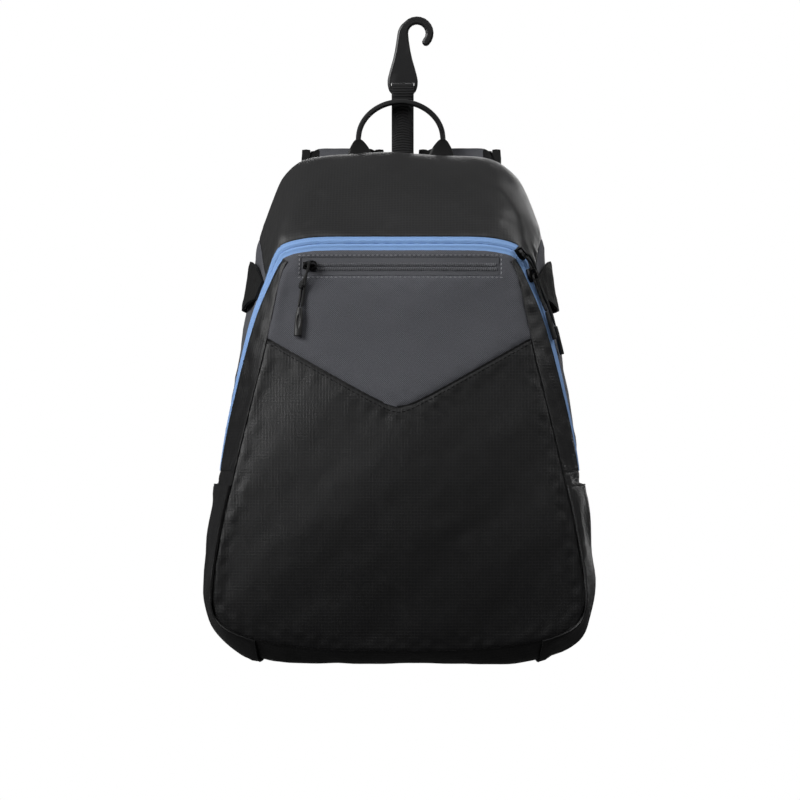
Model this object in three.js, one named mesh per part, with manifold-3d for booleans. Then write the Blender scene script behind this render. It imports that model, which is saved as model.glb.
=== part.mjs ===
// A baseball bat backpack that hangs from a fence hook, in millimetres.
// The body is a hollow shell of sewn panels: a front face with a slanting pocket zip, two wedge gussets,
// a long zip that arches over the front, a hood, two sides, a base and a padded back panel.
// A bat sleeve and a bat strap sit on each side. Two shoulder straps, a haul loop and the webbing of the
// fence hook are sewn along the top of the back panel.
// X points right as the front is seen, Y from the front face to the back panel, Z up.
// The origin is the top of the hook's crook, where the fence wire lies when the bag hangs.
import * as THREE from "three";
import { mergeVertices } from "three/addons/utils/BufferGeometryUtils.js";
import Module from "manifold-3d";

const wasm = await Module();
wasm.setup();

// Sizes of the body
const bagHeight = 453;
const bagWidth = 320;
const bagDepth = 183;
const clothWall = 2;
const backPadding = 8;
const seamGap = 0.3;
const faceBulge = 13;
const backBulge = 5;

// Sizes of the long zip and of the pocket zip
const zipTapeWall = 1;
const zipTapeSink = 0.4;
const zipCoilWidth = 4;
const zipCoilHeight = 1.2;
const pocketZipLength = 171;
const pocketZipHeight = 16;
const pocketZipDrop = 10.7;
const pocketZipShift = 1;
const pocketCoilWidth = 6.5;

// Sizes of the bat sleeves and bat straps
const sleeveWall = 1.8;
const sleeveRoom = 16;
const sleeveMouth = 0.22;
const sleeveWidening = 2.5;
const sleeveFullness = 0.6;
const batStrapWall = 1.6;
const batStrapRoom = 3;
const batHollow = 3.4;

// Sizes of the haul loop
const haulShift = -0.4;
const haulSpan = 78;
const haulRise = 33.4;
const haulLean = 6;
const haulThickness = 4.8;
const haulDepth = 10;
const haulAnchorWidth = 24;
const haulAnchorThickness = 4.4;
const haulAnchorHeight = 18;

// Sizes of the fence hook and its webbing
const hookHeight = 72;
const hookWidth = 28;
const hookThickness = 6;
const hookEdgeRound = 1.8;
const shankWidth = 9.4;
const crookRadius = 8;
const crookThickness = 7.4;
const hookSlotHeight = 2.6;
const hookBarHeight = 8;
const webbingWidth = 20;
const webbingThickness = 1.6;
const hookStrapShift = 1.4;
const hookStrapFree = 60;
const strapLap = 32;

// Sizes of the shoulder straps and of what joins them to the base
const padWidth = 62;
const padThickness = 10;
const padNarrowing = 0.18;
const padRound = 22;
const bindingWidth = 5;
const bindingThickness = 6;
const strapSpacing = 108;
const strapReach = 35;
const lowerWebWidth = 25;
const lockThickness = 4;
const lockBar = 4;
const lockSlot = 5.5;
const lockRim = 3.5;
const tailLength = 40;
const anchorSize = 44;
const anchorThickness = 3;
const anchorInset = 12;

// Sizes of the zip sliders and their pulls
const sliderLength = 12;
const sliderWidth = 9;
const sliderHeight = 3;
const crownRise = 4.6;
const crownWidth = 2;
const crownWire = 1.5;
const cordThickness = 2;
const gripLength = 25;
const gripWidth = 7.5;
const gripThickness = 4.5;

// Play between pieces that touch on the real bag
const fit = 0.3;

// Colours and finishes
const finish = (color, roughness, metalness = 0) =>
  new THREE.MeshStandardMaterial({ color, roughness, metalness });
const materials = {
  ripstop: finish(0x1c1c1c, 0.62),
  hoodCloth: finish(0x2a2a2a, 0.58),
  greyCloth: finish(0x4c4d51, 0.85),
  meshPad: finish(0x1a1a1b, 0.95),
  webbing: finish(0x161616, 0.8),
  blueTape: finish(0x7fa8e0, 0.7),
  blueCoil: finish(0x5e8ccb, 0.45),
  greyTape: finish(0x505156, 0.8),
  greyCoil: finish(0x3a3b3f, 0.45),
  plastic: finish(0x202020, 0.42),
  blackMetal: finish(0x101011, 0.3, 0.9),
  rubber: finish(0x151515, 0.5),
};

const bag = new THREE.Group();

function add(name, geometry, material, parent = bag) {
  const mesh = new THREE.Mesh(geometry, material);
  mesh.name = name;
  parent.add(mesh);
  return mesh;
}

// Small helpers
const table = (columns, rows) => {
  const names = columns.split(" ");
  return rows.map((row) => Object.fromEntries(names.map((name, i) => [name, row[i]])));
};
const smooth = (t) => {
  const s = Math.min(1, Math.max(0, t));
  return s * s * (3 - 2 * s);
};
const range = (count) => Array.from({ length: count }, (_, i) => i);

// Joins and cuts with manifold-3d
function toSolid(geometry) {
  const bare = (geometry.index ? geometry.toNonIndexed() : geometry.clone());
  const only = new THREE.BufferGeometry().setAttribute("position", bare.getAttribute("position"));
  const merged = mergeVertices(only, 1e-4);
  return new wasm.Manifold(new wasm.Mesh({
    numProp: 3,
    vertProperties: new Float32Array(merged.attributes.position.array),
    triVerts: new Uint32Array(merged.index.array),
  }));
}

function toGeometry(solid) {
  const mesh = solid.getMesh();
  const geometry = new THREE.BufferGeometry();
  geometry.setAttribute("position", new THREE.BufferAttribute(new Float32Array(mesh.vertProperties), 3));
  geometry.setIndex(new THREE.BufferAttribute(new Uint32Array(mesh.triVerts), 1));
  return geometry;
}

// The seam rings of the body. Each row is a station on the right half of the ring, from the top centre
// round to the bottom centre. Columns are shares: out of half the width, fore of the depth in front of the
// back seam, up of the height. The other half is the mirror image.
const RINGS = {
  faceSeam: table("out fore up", [
    [0, 0.776, 0.777],
    [0.281, 0.776, 0.777],
    [0.512, 0.776, 0.774],
    [0.606, 0.781, 0.764],
    [0.647, 0.795, 0.728],
    [0.684, 0.814, 0.667],
    [0.728, 0.842, 0.592],
    [0.808, 0.891, 0.475],
    [0.881, 0.934, 0.364],
    [0.962, 0.978, 0.227],
    [0.972, 1, 0.088],
    [0.75, 1, 0.047],
    [0.406, 1, 0.03],
    [0, 1, 0.026],
  ]),
  zipFront: table("out fore up", [
    [0, 0.76, 0.785],
    [0.281, 0.76, 0.785],
    [0.512, 0.76, 0.782],
    [0.63, 0.757, 0.769],
    [0.69, 0.754, 0.73],
    [0.768, 0.749, 0.667],
    [0.833, 0.74, 0.592],
    [0.915, 0.721, 0.475],
    [0.976, 0.694, 0.364],
    [0.975, 0.765, 0.224],
    [0.958, 0.82, 0.07],
    [0.738, 0.93, 0.01],
    [0.4, 0.94, 0.003],
    [0, 0.94, 0.003],
  ]),
  zipBack: table("out fore up", [
    [0, 0.732, 0.812],
    [0.284, 0.732, 0.812],
    [0.52, 0.73, 0.809],
    [0.668, 0.716, 0.79],
    [0.728, 0.689, 0.733],
    [0.802, 0.683, 0.667],
    [0.859, 0.672, 0.592],
    [0.931, 0.65, 0.475],
    [0.982, 0.623, 0.364],
    [0.974, 0.694, 0.222],
    [0.952, 0.72, 0.06],
    [0.731, 0.85, 0.003],
    [0.4, 0.85, 0],
    [0, 0.85, 0],
  ]),
  middle: table("out fore up", [
    [0, 0.437, 0.951],
    [0.287, 0.437, 0.949],
    [0.512, 0.437, 0.936],
    [0.668, 0.437, 0.889],
    [0.772, 0.437, 0.795],
    [0.828, 0.437, 0.704],
    [0.885, 0.437, 0.611],
    [0.937, 0.437, 0.482],
    [0.979, 0.437, 0.366],
    [0.925, 0.437, 0.219],
    [0.88, 0.437, 0.06],
    [0.719, 0.437, 0],
    [0.4, 0.437, 0],
    [0, 0.437, 0],
  ]),
  shoulder: table("out fore up", [
    [0, 0.137, 1],
    [0.281, 0.137, 0.993],
    [0.545, 0.137, 0.983],
    [0.7, 0.137, 0.935],
    [0.8, 0.164, 0.829],
    [0.84, 0.164, 0.726],
    [0.894, 0.164, 0.622],
    [0.934, 0.164, 0.486],
    [0.969, 0.164, 0.368],
    [0.944, 0.164, 0.219],
    [0.906, 0.164, 0.052],
    [0.694, 0.164, 0],
    [0.388, 0.164, 0],
    [0, 0.164, 0],
  ]),
  backSeam: table("out fore up", [
    [0, 0, 0.987],
    [0.262, 0, 0.985],
    [0.469, 0, 0.982],
    [0.6, 0, 0.954],
    [0.719, 0, 0.839],
    [0.794, 0, 0.733],
    [0.838, 0, 0.627],
    [0.875, 0, 0.49],
    [0.906, 0, 0.371],
    [0.906, 0, 0.221],
    [0.875, 0, 0.066],
    [0.675, 0, 0.018],
    [0.375, 0, 0.011],
    [0, 0, 0.011],
  ]),
};

const STATIONS = RINGS.faceSeam.length - 1;
const place = (row) => new THREE.Vector3(
  (row.out * bagWidth) / 2,
  -row.fore * bagDepth,
  row.up * bagHeight,
);
const ringCurves = Object.fromEntries(Object.entries(RINGS).map(([name, rows]) => {
  const right = rows.map(place);
  const left = right.slice(1, -1).reverse().map((p) => new THREE.Vector3(-p.x, p.y, p.z));
  return [name, new THREE.CatmullRomCurve3([...right, ...left], true, "centripetal")];
}));
const onRing = (name, station) => {
  const turn = 2 * STATIONS;
  return ringCurves[name].getPoint((((station % turn) + turn) % turn) / turn);
};

// Stations of the ring's columns. The chevron, the hood's edge, the zip's end and the sleeve's hem each
// lie on a column, so that neighbouring panels share their edges.
const TOP_STATIONS = [0, 0.45, 0.9, 1.35, 1.75, 2.1, 2.45, 2.75, 3];
const SIDE_STATIONS = [3, 3.5, 4, 4.3, 4.65, 5, 5.35, 5.7, 6.3, 6.9, 7.45, 8, 8.2, 8.6, 9, 9.4, 9.7, 10];
const BASE_STATIONS = [10, 10.3, 10.6, 10.95, 11.35, 11.8, 12.2, 12.6, 13];
const HALF_TOP = TOP_STATIONS.length - 1;
const SIDE_COLUMNS = SIDE_STATIONS.length - 1;
const halfRing = [...TOP_STATIONS, ...SIDE_STATIONS.slice(1), ...BASE_STATIONS.slice(1)];
const otherHalf = halfRing.slice(1, -1).reverse().map((station) => 2 * STATIONS - station);
const ringStations = [...halfRing, ...otherHalf];
const COLUMNS = ringStations.length;
const columnOf = (station) => HALF_TOP + SIDE_STATIONS.indexOf(station);
const mirrorColumn = (column) => (COLUMNS - column) % COLUMNS;

// Rows of the band between the face seam and the back seam
const ROW = { seam: 0, zipFront: 1, zipMiddle: 2, zipBack: 3, middle: 5, shoulder: 7, back: 8 };
function bandColumn(station) {
  const [seam, front, back, middle, shoulder, rear] = [
    "faceSeam", "zipFront", "zipBack", "middle", "shoulder", "backSeam",
  ].map((name) => onRing(name, station));
  const curve = new THREE.CatmullRomCurve3([front, back, middle, shoulder, rear], false, "centripetal");
  const along = (segment) => curve.getPoint(segment / 4);
  return [
    seam, front, front.clone().lerp(back, 0.5), back, along(1.5), middle, along(2.5), shoulder, rear,
  ];
}
const band = { points: ringStations.map(bandColumn), ring: true };

// The front face. Its depth at any height is that of its side seam, and it bulges between the seams.
const sideSeam = range(81).map((i) => onRing("faceSeam", 3 + (7 * i) / 80));
function alongSeam(height) {
  const next = sideSeam.findIndex((p) => p.z <= height);
  if (next === 0) return sideSeam[0];
  if (next < 0) return sideSeam[sideSeam.length - 1];
  const [above, below] = [sideSeam[next - 1], sideSeam[next]];
  return above.clone().lerp(below, (above.z - height) / (above.z - below.z));
}
const faceTop = onRing("faceSeam", 0).z;
const faceFoot = onRing("faceSeam", STATIONS).z;
function onFace(x, z) {
  const seam = alongSeam(z);
  const across = Math.min(1, Math.abs(x) / seam.x);
  const down = (faceTop - z) / (faceTop - faceFoot);
  const swell = Math.sin(Math.PI * Math.min(1, Math.max(0, down)) ** 0.8);
  return new THREE.Vector3(x, seam.y - faceBulge * (1 - across ** 2) * swell, z);
}

// The chevron's rounded point, as a height over x
const chevronEnd = onRing("faceSeam", 5.7);
const chevronSlope = 0.566;
const chevronRound = 9;
const chevronHeight = (x) =>
  chevronEnd.z - chevronSlope * (chevronEnd.x - Math.hypot(Math.abs(x), chevronRound))
  - chevronSlope * (Math.hypot(chevronEnd.x, chevronRound) - chevronEnd.x);

// A grid between four edges that share their corners, by transfinite interpolation
function patch(top, bottom, left, right) {
  const columns = top.length - 1;
  const rows = left.length - 1;
  return range(columns + 1).map((i) => range(rows + 1).map((j) => {
    const [a, b] = [i / columns, j / rows];
    const mix = (p, q, t) => p.clone().lerp(q, t);
    const across = mix(left[j], right[j], a);
    const down = mix(top[i], bottom[i], b);
    const corners = mix(mix(top[0], top[columns], a), mix(bottom[0], bottom[columns], a), b);
    return across.add(down).sub(corners);
  }));
}
const ringRow = (row, columns) => columns.map((k) => band.points[(k + COLUMNS) % COLUMNS][row]);
const topColumns = range(2 * HALF_TOP + 1).map((i) => i - HALF_TOP);
const baseColumns = topColumns.map((k) => COLUMNS / 2 - k);
const sideColumns = (from, to) => range(to - from + 1).map((i) => HALF_TOP + from + i);
const chevronRow = SIDE_STATIONS.indexOf(5.7);

function facePatch() {
  const upperSide = sideColumns(0, chevronRow);
  const lowerSide = sideColumns(chevronRow, SIDE_COLUMNS);
  const leftOf = (columns) => columns.map(mirrorColumn);
  const chevron = range(2 * HALF_TOP + 1).map((i) => {
    const x = chevronEnd.x * (i / HALF_TOP - 1);
    return new THREE.Vector3(x, 0, chevronHeight(x));
  });
  chevron[0] = ringRow(ROW.seam, [mirrorColumn(HALF_TOP + chevronRow)])[0];
  chevron[2 * HALF_TOP] = ringRow(ROW.seam, [HALF_TOP + chevronRow])[0];
  const seamRow = (columns) => ringRow(ROW.seam, columns);
  const upper = patch(seamRow(topColumns), chevron, seamRow(leftOf(upperSide)), seamRow(upperSide));
  const lower = patch(chevron, seamRow(baseColumns), seamRow(leftOf(lowerSide)), seamRow(lowerSide));
  const strip = ringRow(ROW.zipFront, topColumns);
  const points = upper.map((column, i) => [strip[i], ...column, ...lower[i].slice(1)]);
  const last = points[0].length - 1;
  return points.map((column, i) => column.map((p, j) => {
    const onEdge = i === 0 || i === 2 * HALF_TOP || j <= 1 || j === last;
    return onEdge ? p : onFace(p.x, p.z);
  }));
}
const face = { points: facePatch() };
const CHEVRON_ROW = chevronRow + 1;

function backPatch() {
  const side = sideColumns(0, SIDE_COLUMNS);
  const backRow = (columns) => ringRow(ROW.back, columns);
  const leftSide = backRow(side.map(mirrorColumn));
  const points = patch(backRow(topColumns), backRow(baseColumns), leftSide, backRow(side));
  const [columns, rows] = [points.length - 1, points[0].length - 1];
  return points.map((column, i) => column.map((p, j) => {
    const onRim = i === 0 || j === 0 || i === columns || j === rows;
    return p.clone().setY(onRim ? p.y : backBulge);
  }));
}
const back = { points: backPatch(), inward: true };

// Outward normals of every grid point, shared where two grids meet, so that walls meet on a mitre
const keyOf = (p) => [p.x, p.y, p.z].map((v) => v.toFixed(1)).join(" ");
const sharedNormals = new Map();
function gridNormals(grid) {
  const [columns, rows] = [grid.points.length, grid.points[0].length];
  const at = (i, j) => grid.points[(i + columns) % columns][j];
  grid.normals = grid.points.map((column) => column.map(() => new THREE.Vector3()));
  for (let i = 0; i < (grid.ring ? columns : columns - 1); i += 1) {
    for (let j = 0; j < rows - 1; j += 1) {
      const diagonal = at(i + 1, j + 1).clone().sub(at(i, j));
      const other = at(i + 1, j).clone().sub(at(i, j + 1));
      const normal = diagonal.cross(other).normalize();
      if (grid.inward || grid.ring) normal.negate();
      for (const [a, b] of [[i, j], [i + 1, j], [i + 1, j + 1], [i, j + 1]]) {
        grid.normals[a % columns][b].add(normal);
      }
    }
  }
  grid.normals.forEach((column, i) => column.forEach((normal, j) => {
    normal.normalize();
    const key = keyOf(grid.points[i][j]);
    const sum = sharedNormals.get(key) ?? new THREE.Vector3();
    sharedNormals.set(key, sum.add(normal));
  }));
}
[face, band, back].forEach(gridNormals);
const mitreNormal = (grid, i, j) => {
  const own = grid.normals[i][j];
  const shared = sharedNormals.get(keyOf(grid.points[i][j])).clone().normalize();
  return { direction: shared, mitre: 1 / Math.max(0.55, own.dot(shared)) };
};

// A closed sheet over some cells of a grid: its outer face lies skin outside the grid, its inner face wall
// further in, and its rim is drawn back from its neighbours by half the seam gap.
function sheet(grid, holds, { skin = () => 0, wall = () => clothWall, rim = seamGap / 2 } = {}) {
  const [columns, rows] = [grid.points.length, grid.points[0].length];
  const wrap = (i) => (grid.ring ? (i + columns) % columns : i);
  const cells = grid.ring ? columns : columns - 1;
  const has = (i, j) => {
    const column = wrap(i);
    return column >= 0 && column < cells && j >= 0 && j < rows - 1 && holds(column, j);
  };
  const positions = [];
  const index = [];
  const used = new Map();
  function vertex(i, j) {
    const key = wrap(i) * rows + j;
    if (used.has(key)) return used.get(key);
    const point = grid.points[wrap(i)][j];
    const [a, b, c, d] = [has(i - 1, j - 1), has(i, j - 1), has(i - 1, j), has(i, j)].map(Number);
    const shift = new THREE.Vector3();
    const step = (amount, ii, jj) => {
      if (amount) shift.addScaledVector(grid.points[wrap(ii)][jj].clone().sub(point).normalize(), rim);
    };
    const acrossSign = Math.sign(b + d - a - c);
    const downSign = Math.sign(c + d - a - b);
    step(acrossSign, i + acrossSign, j);
    step(downSign, i, j + downSign);
    const { direction, mitre } = mitreNormal(grid, wrap(i), j);
    const outside = skin(wrap(i), j);
    const outer = point.clone().add(shift).addScaledVector(direction, outside * (outside > 0 ? mitre : 1));
    const inner = outer.clone().addScaledVector(direction, -wall(wrap(i), j) * mitre);
    const first = positions.length / 3;
    positions.push(...outer.toArray(), ...inner.toArray());
    used.set(key, first);
    return first;
  }
  const flip = Boolean(grid.inward || grid.ring);
  const triangle = (p, q, r) => (flip ? index.push(p, r, q) : index.push(p, q, r));
  const quad = (p, q, r, s) => {
    triangle(p, q, r);
    triangle(p, r, s);
  };
  for (let i = 0; i < cells; i += 1) {
    for (let j = 0; j < rows - 1; j += 1) {
      if (!has(i, j)) continue;
      const [p, q, r, s] = [vertex(i, j), vertex(i, j + 1), vertex(i + 1, j + 1), vertex(i + 1, j)];
      quad(p, q, r, s);
      quad(p + 1, s + 1, r + 1, q + 1);
      if (!has(i - 1, j)) quad(q, p, p + 1, q + 1);
      if (!has(i + 1, j)) quad(s, r, r + 1, s + 1);
      if (!has(i, j - 1)) quad(p, s, s + 1, p + 1);
      if (!has(i, j + 1)) quad(r, q, q + 1, r + 1);
    }
  }
  const geometry = new THREE.BufferGeometry();
  geometry.setAttribute("position", new THREE.Float32BufferAttribute(positions, 3));
  geometry.setIndex(index);
  return geometry;
}

// Columns of the ring that each panel covers
const hoodEnd = columnOf(4);
const zipEnd = columnOf(8);
const hem = columnOf(8.2);
const isTop = (k, end) => k < end || k >= mirrorColumn(end);
const onRight = (k, from, to) => k >= from && k < to;
const onLeft = (k, from, to) => k >= mirrorColumn(to) && k < mirrorColumn(from);
const within = (j, from, to) => j >= from && j < to;

const hoodHolds = (i, j) => isTop(i, hoodEnd) && within(j, ROW.zipBack, ROW.back);
const baseHolds = (i) => onRight(i, zipEnd, mirrorColumn(zipEnd));
const sideHolds = (onSide) => (i, j) => onSide(i, hoodEnd, zipEnd) && within(j, ROW.zipBack, ROW.back);
const gussetHolds = (onSide) => (i, j) => onSide(i, HALF_TOP, zipEnd) && within(j, ROW.seam, ROW.zipFront);
const tapeHolds = (from, to) => (i, j) => isTop(i, zipEnd) && within(j, from, to);

// The cloth is drawn in behind each sleeve's mouth and each bat strap, so that a bat has its way in
const BAT_HOLLOWS = table("station spread row reach", [
  [4.85, 0.8, 5, 2],
  [8.4, 1.2, 5, 2],
]);
const fade = (t) => Math.cos((Math.min(1, Math.abs(t)) * Math.PI) / 2) ** 2;
function batHollowAt(i, j) {
  const station = Math.min(ringStations[i], 2 * STATIONS - ringStations[i]);
  const depths = BAT_HOLLOWS.map((hollow) =>
    fade((station - hollow.station) / hollow.spread) * fade((j - hollow.row) / hollow.reach));
  return -batHollow * Math.max(...depths);
}
const drawnIn = { skin: batHollowAt };

add("hood_panel", sheet(band, hoodHolds), materials.hoodCloth);
add("base_panel", sheet(band, baseHolds, drawnIn), materials.ripstop);
for (const [side, onSide] of [["right", onRight], ["left", onLeft]]) {
  add(`side_panel_${side}`, sheet(band, sideHolds(onSide), drawnIn), materials.greyCloth);
  add(`front_gusset_${side}`, sheet(band, gussetHolds(onSide)), materials.ripstop);
}
const tapeWall = { wall: () => zipTapeWall, skin: () => -zipTapeSink };
for (const [half, from, to] of [
  ["front", ROW.zipFront, ROW.zipMiddle],
  ["back", ROW.zipMiddle, ROW.zipBack],
]) {
  add(`main_zip_tape_${half}`, sheet(band, tapeHolds(from, to), tapeWall), materials.blueTape);
}

// The padded back panel is thick between its seams and thin at them
const backLast = { column: back.points.length - 1, row: back.points[0].length - 1 };
const backWall = (i, j) =>
  (i === 0 || j === 0 || i === backLast.column || j === backLast.row ? clothWall : backPadding);
add("back_panel", sheet(back, () => true, { wall: backWall }), materials.meshPad);

// The front face: the grey chevron panel with a window for the pocket zip, and the ripstop panel below it
add("face_lower", sheet(face, (i, j) => j >= CHEVRON_ROW), materials.ripstop);
const pocketTop = faceTop - pocketZipDrop + pocketZipHeight / 2;
const pocketMiddle = pocketTop - pocketZipHeight / 2;
const windowCut = new THREE.BoxGeometry(pocketZipLength, 3 * faceBulge, pocketZipHeight);
windowCut.translate(pocketZipShift, onFace(0, pocketMiddle).y, pocketMiddle);
const upperFace = toSolid(sheet(face, (i, j) => j < CHEVRON_ROW)).subtract(toSolid(windowCut));
add("face_upper", toGeometry(upperFace), materials.greyCloth);

// A strip of the front face along the pocket zip, sunk behind the face by depth
function faceStrip(length, height, depth, wall, steps) {
  const points = range(steps + 1).map((i) => {
    const x = pocketZipShift + length * (i / steps - 0.5);
    return [0.5, 0.2, -0.2, -0.5].map((share) => {
      const p = onFace(x, pocketMiddle + share * height);
      return p.setY(p.y + depth);
    });
  });
  const grid = { points };
  gridNormals(grid);
  return sheet(grid, () => true, { wall: () => wall, rim: 0 });
}
const pocketTapeSink = 0.8;
const pocketCoilTop = pocketTapeSink - fit - zipCoilHeight;
add("pocket_zip_tape",
  faceStrip(pocketZipLength - 2 * fit, pocketZipHeight - 2 * fit, pocketTapeSink, zipTapeWall, 14),
  materials.greyTape);
add("pocket_zip_coil",
  faceStrip(pocketZipLength - 10 * fit, pocketCoilWidth, pocketCoilTop, zipCoilHeight, 14),
  materials.greyCoil);

// A bar along a route. Its section is an ellipse-like ring of sides corners, or a rectangle with four.
function bar(route, outward, width, thickness, sides = 4) {
  const positions = [];
  const index = [];
  const sizeAt = (size, i) => (typeof size === "function" ? size(i / (route.length - 1)) : size);
  const reach = sides === 4 ? Math.SQRT2 : 1;
  route.forEach((point, i) => {
    const before = route[Math.max(0, i - 1)];
    const after = route[Math.min(route.length - 1, i + 1)];
    const tangent = after.clone().sub(before).normalize();
    const out = outward[i].clone().addScaledVector(tangent, -outward[i].dot(tangent)).normalize();
    const across = tangent.clone().cross(out);
    const [w, t] = [(reach * sizeAt(width, i)) / 2, (reach * sizeAt(thickness, i)) / 2];
    for (const k of range(sides)) {
      const angle = (2 * Math.PI * (k + 0.5)) / sides;
      const corner = point.clone().addScaledVector(across, w * Math.cos(angle));
      positions.push(...corner.addScaledVector(out, t * Math.sin(angle)).toArray());
    }
  });
  const last = sides * (route.length - 1);
  for (let ring = 0; ring < last; ring += sides) {
    for (const k of range(sides)) {
      const [a, b] = [ring + k, ring + ((k + 1) % sides)];
      index.push(a, a + sides, b + sides, a, b + sides, b);
    }
  }
  for (let k = 1; k < sides - 1; k += 1) {
    index.push(0, k, k + 1, last, last + k + 1, last + k);
  }
  const geometry = new THREE.BufferGeometry();
  geometry.setAttribute("position", new THREE.Float32BufferAttribute(positions, 3));
  geometry.setIndex(index);
  return geometry;
}

// The coil of the long zip lies inside the joint of its two tapes
const coilColumns = range(2 * zipEnd + 1).map((i) => (i - zipEnd + COLUMNS) % COLUMNS);
const coilOut = coilColumns.map((k) => mitreNormal(band, k, ROW.zipMiddle).direction);
const coilDepth = zipTapeSink + zipTapeWall + fit + zipCoilHeight / 2;
const coilRoute = coilColumns.map((k, i) =>
  band.points[k][ROW.zipMiddle].clone().addScaledVector(coilOut[i], -coilDepth));
add("main_zip_coil", bar(coilRoute, coilOut, zipCoilWidth, zipCoilHeight), materials.blueCoil);

// Bat sleeves: each lies on the base panel's side, open at its hem, with room for a barrel. The room is a
// share of the whole at the mouth, widens below it and closes at the foot.
const sleeveFoot = HALF_TOP + SIDE_COLUMNS + 3;
const sleeveColumn = (k) => (k > COLUMNS / 2 ? mirrorColumn(k) : k);
function sleeveRoomAt(i, j) {
  const down = (sleeveColumn(i) - hem) / (sleeveFoot - hem);
  const mouth = sleeveMouth + (1 - sleeveMouth) * smooth(sleeveWidening * down);
  const foot = 1 - smooth(down) ** 2;
  return sleeveRoom * Math.sin((Math.PI * j) / ROW.back) ** sleeveFullness * mouth * foot;
}
for (const [side, onSide] of [["right", onRight], ["left", onLeft]]) {
  add(`bat_sleeve_${side}`, sheet(band, (i) => onSide(i, hem, sleeveFoot), {
    skin: (i, j) => fit + Math.max(0, sleeveRoomAt(i, j)) + sleeveWall,
    wall: () => sleeveWall,
    rim: 0.5,
  }), materials.ripstop);
}

// Places on the band by station and row, raised off it by lift, with the directions there
function onBand(station, row, lift) {
  const at = (s, r) => {
    const column = bandColumn(s);
    const first = Math.min(column.length - 2, Math.max(0, Math.floor(r)));
    return column[first].clone().lerp(column[first + 1], r - first);
  };
  const step = 0.05;
  const along = at(station + step, row).sub(at(station - step, row)).normalize();
  const over = at(station, row + step).sub(at(station, row - step)).normalize();
  const out = along.clone().cross(over).normalize();
  return { point: at(station, row).addScaledVector(out, lift), along, out };
}

// Bat straps: a band across each side, wide at the back seam and narrow where it meets the long zip.
// Each row gives the stations of its upper and lower edge on a row of the band.
const STRAP_EDGES = table("row top foot", [
  [3, 4.1, 4.65],
  [4, 4.15, 5.0],
  [5, 4.3, 5.35],
  [6.5, 4.5, 5.5],
  [8, 4.65, 5.6],
]);
function strapEdges(row) {
  const next = Math.max(1, STRAP_EDGES.findIndex((edge) => edge.row >= row));
  const [before, after] = [STRAP_EDGES[next - 1], STRAP_EDGES[next]];
  const t = (row - before.row) / (after.row - before.row);
  return ["top", "foot"].map((key) => before[key] + (after[key] - before[key]) * t);
}
const strapSteps = { rows: 8, columns: 6 };
for (const [side, turned] of [["right", false], ["left", true]]) {
  const rows = range(strapSteps.rows + 1).map((j) =>
    ROW.zipBack + (j * (ROW.back - ROW.zipBack)) / strapSteps.rows);
  const grid = {
    inward: true,
    points: range(strapSteps.columns + 1).map((i) => rows.map((row) => {
      const [top, foot] = strapEdges(row);
      const share = i / strapSteps.columns;
      const station = turned ? 2 * STATIONS - (foot + (top - foot) * share) : top + (foot - top) * share;
      return onBand(station, row, 0).point;
    })),
  };
  gridNormals(grid);
  add(`bat_strap_${side}`, sheet(grid, () => true, {
    skin: (i, j) => 2 * fit + batStrapRoom * Math.sin((Math.PI * j) / strapSteps.rows) + batStrapWall,
    wall: () => batStrapWall,
    rim: 0.5,
  }), materials.webbing);
}

// A slider: a plate with a wire crown that its cord passes through
function sliderGeometry() {
  const [w, l] = [sliderWidth / 2, sliderLength / 2];
  const plateShape = new THREE.Shape();
  plateShape.moveTo(-0.6 * w, -l);
  plateShape.lineTo(0.6 * w, -l);
  plateShape.lineTo(w, 0.4 * l);
  plateShape.lineTo(0.7 * w, l);
  plateShape.lineTo(-0.7 * w, l);
  plateShape.lineTo(-w, 0.4 * l);
  const plate = new THREE.ExtrudeGeometry(plateShape, { depth: sliderHeight, bevelEnabled: false });
  const crownShape = new THREE.Shape();
  crownShape.moveTo(-0.85 * l, -1);
  crownShape.lineTo(0.85 * l, -1);
  crownShape.lineTo(0.7 * l, crownRise);
  crownShape.lineTo(-0.7 * l, crownRise);
  const eye = new THREE.Path();
  eye.moveTo(-0.85 * l + crownWire, 0);
  eye.lineTo(-0.7 * l + crownWire, crownRise - crownWire);
  eye.lineTo(0.7 * l - crownWire, crownRise - crownWire);
  eye.lineTo(0.85 * l - crownWire, 0);
  crownShape.holes.push(eye);
  const crown = new THREE.ExtrudeGeometry(crownShape, { depth: crownWidth, bevelEnabled: false });
  crown.translate(0, 0, -crownWidth / 2);
  crown.rotateX(Math.PI / 2);
  crown.rotateZ(Math.PI / 2);
  crown.translate(0, 0, sliderHeight);
  return toGeometry(toSolid(plate).add(toSolid(crown)));
}

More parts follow.
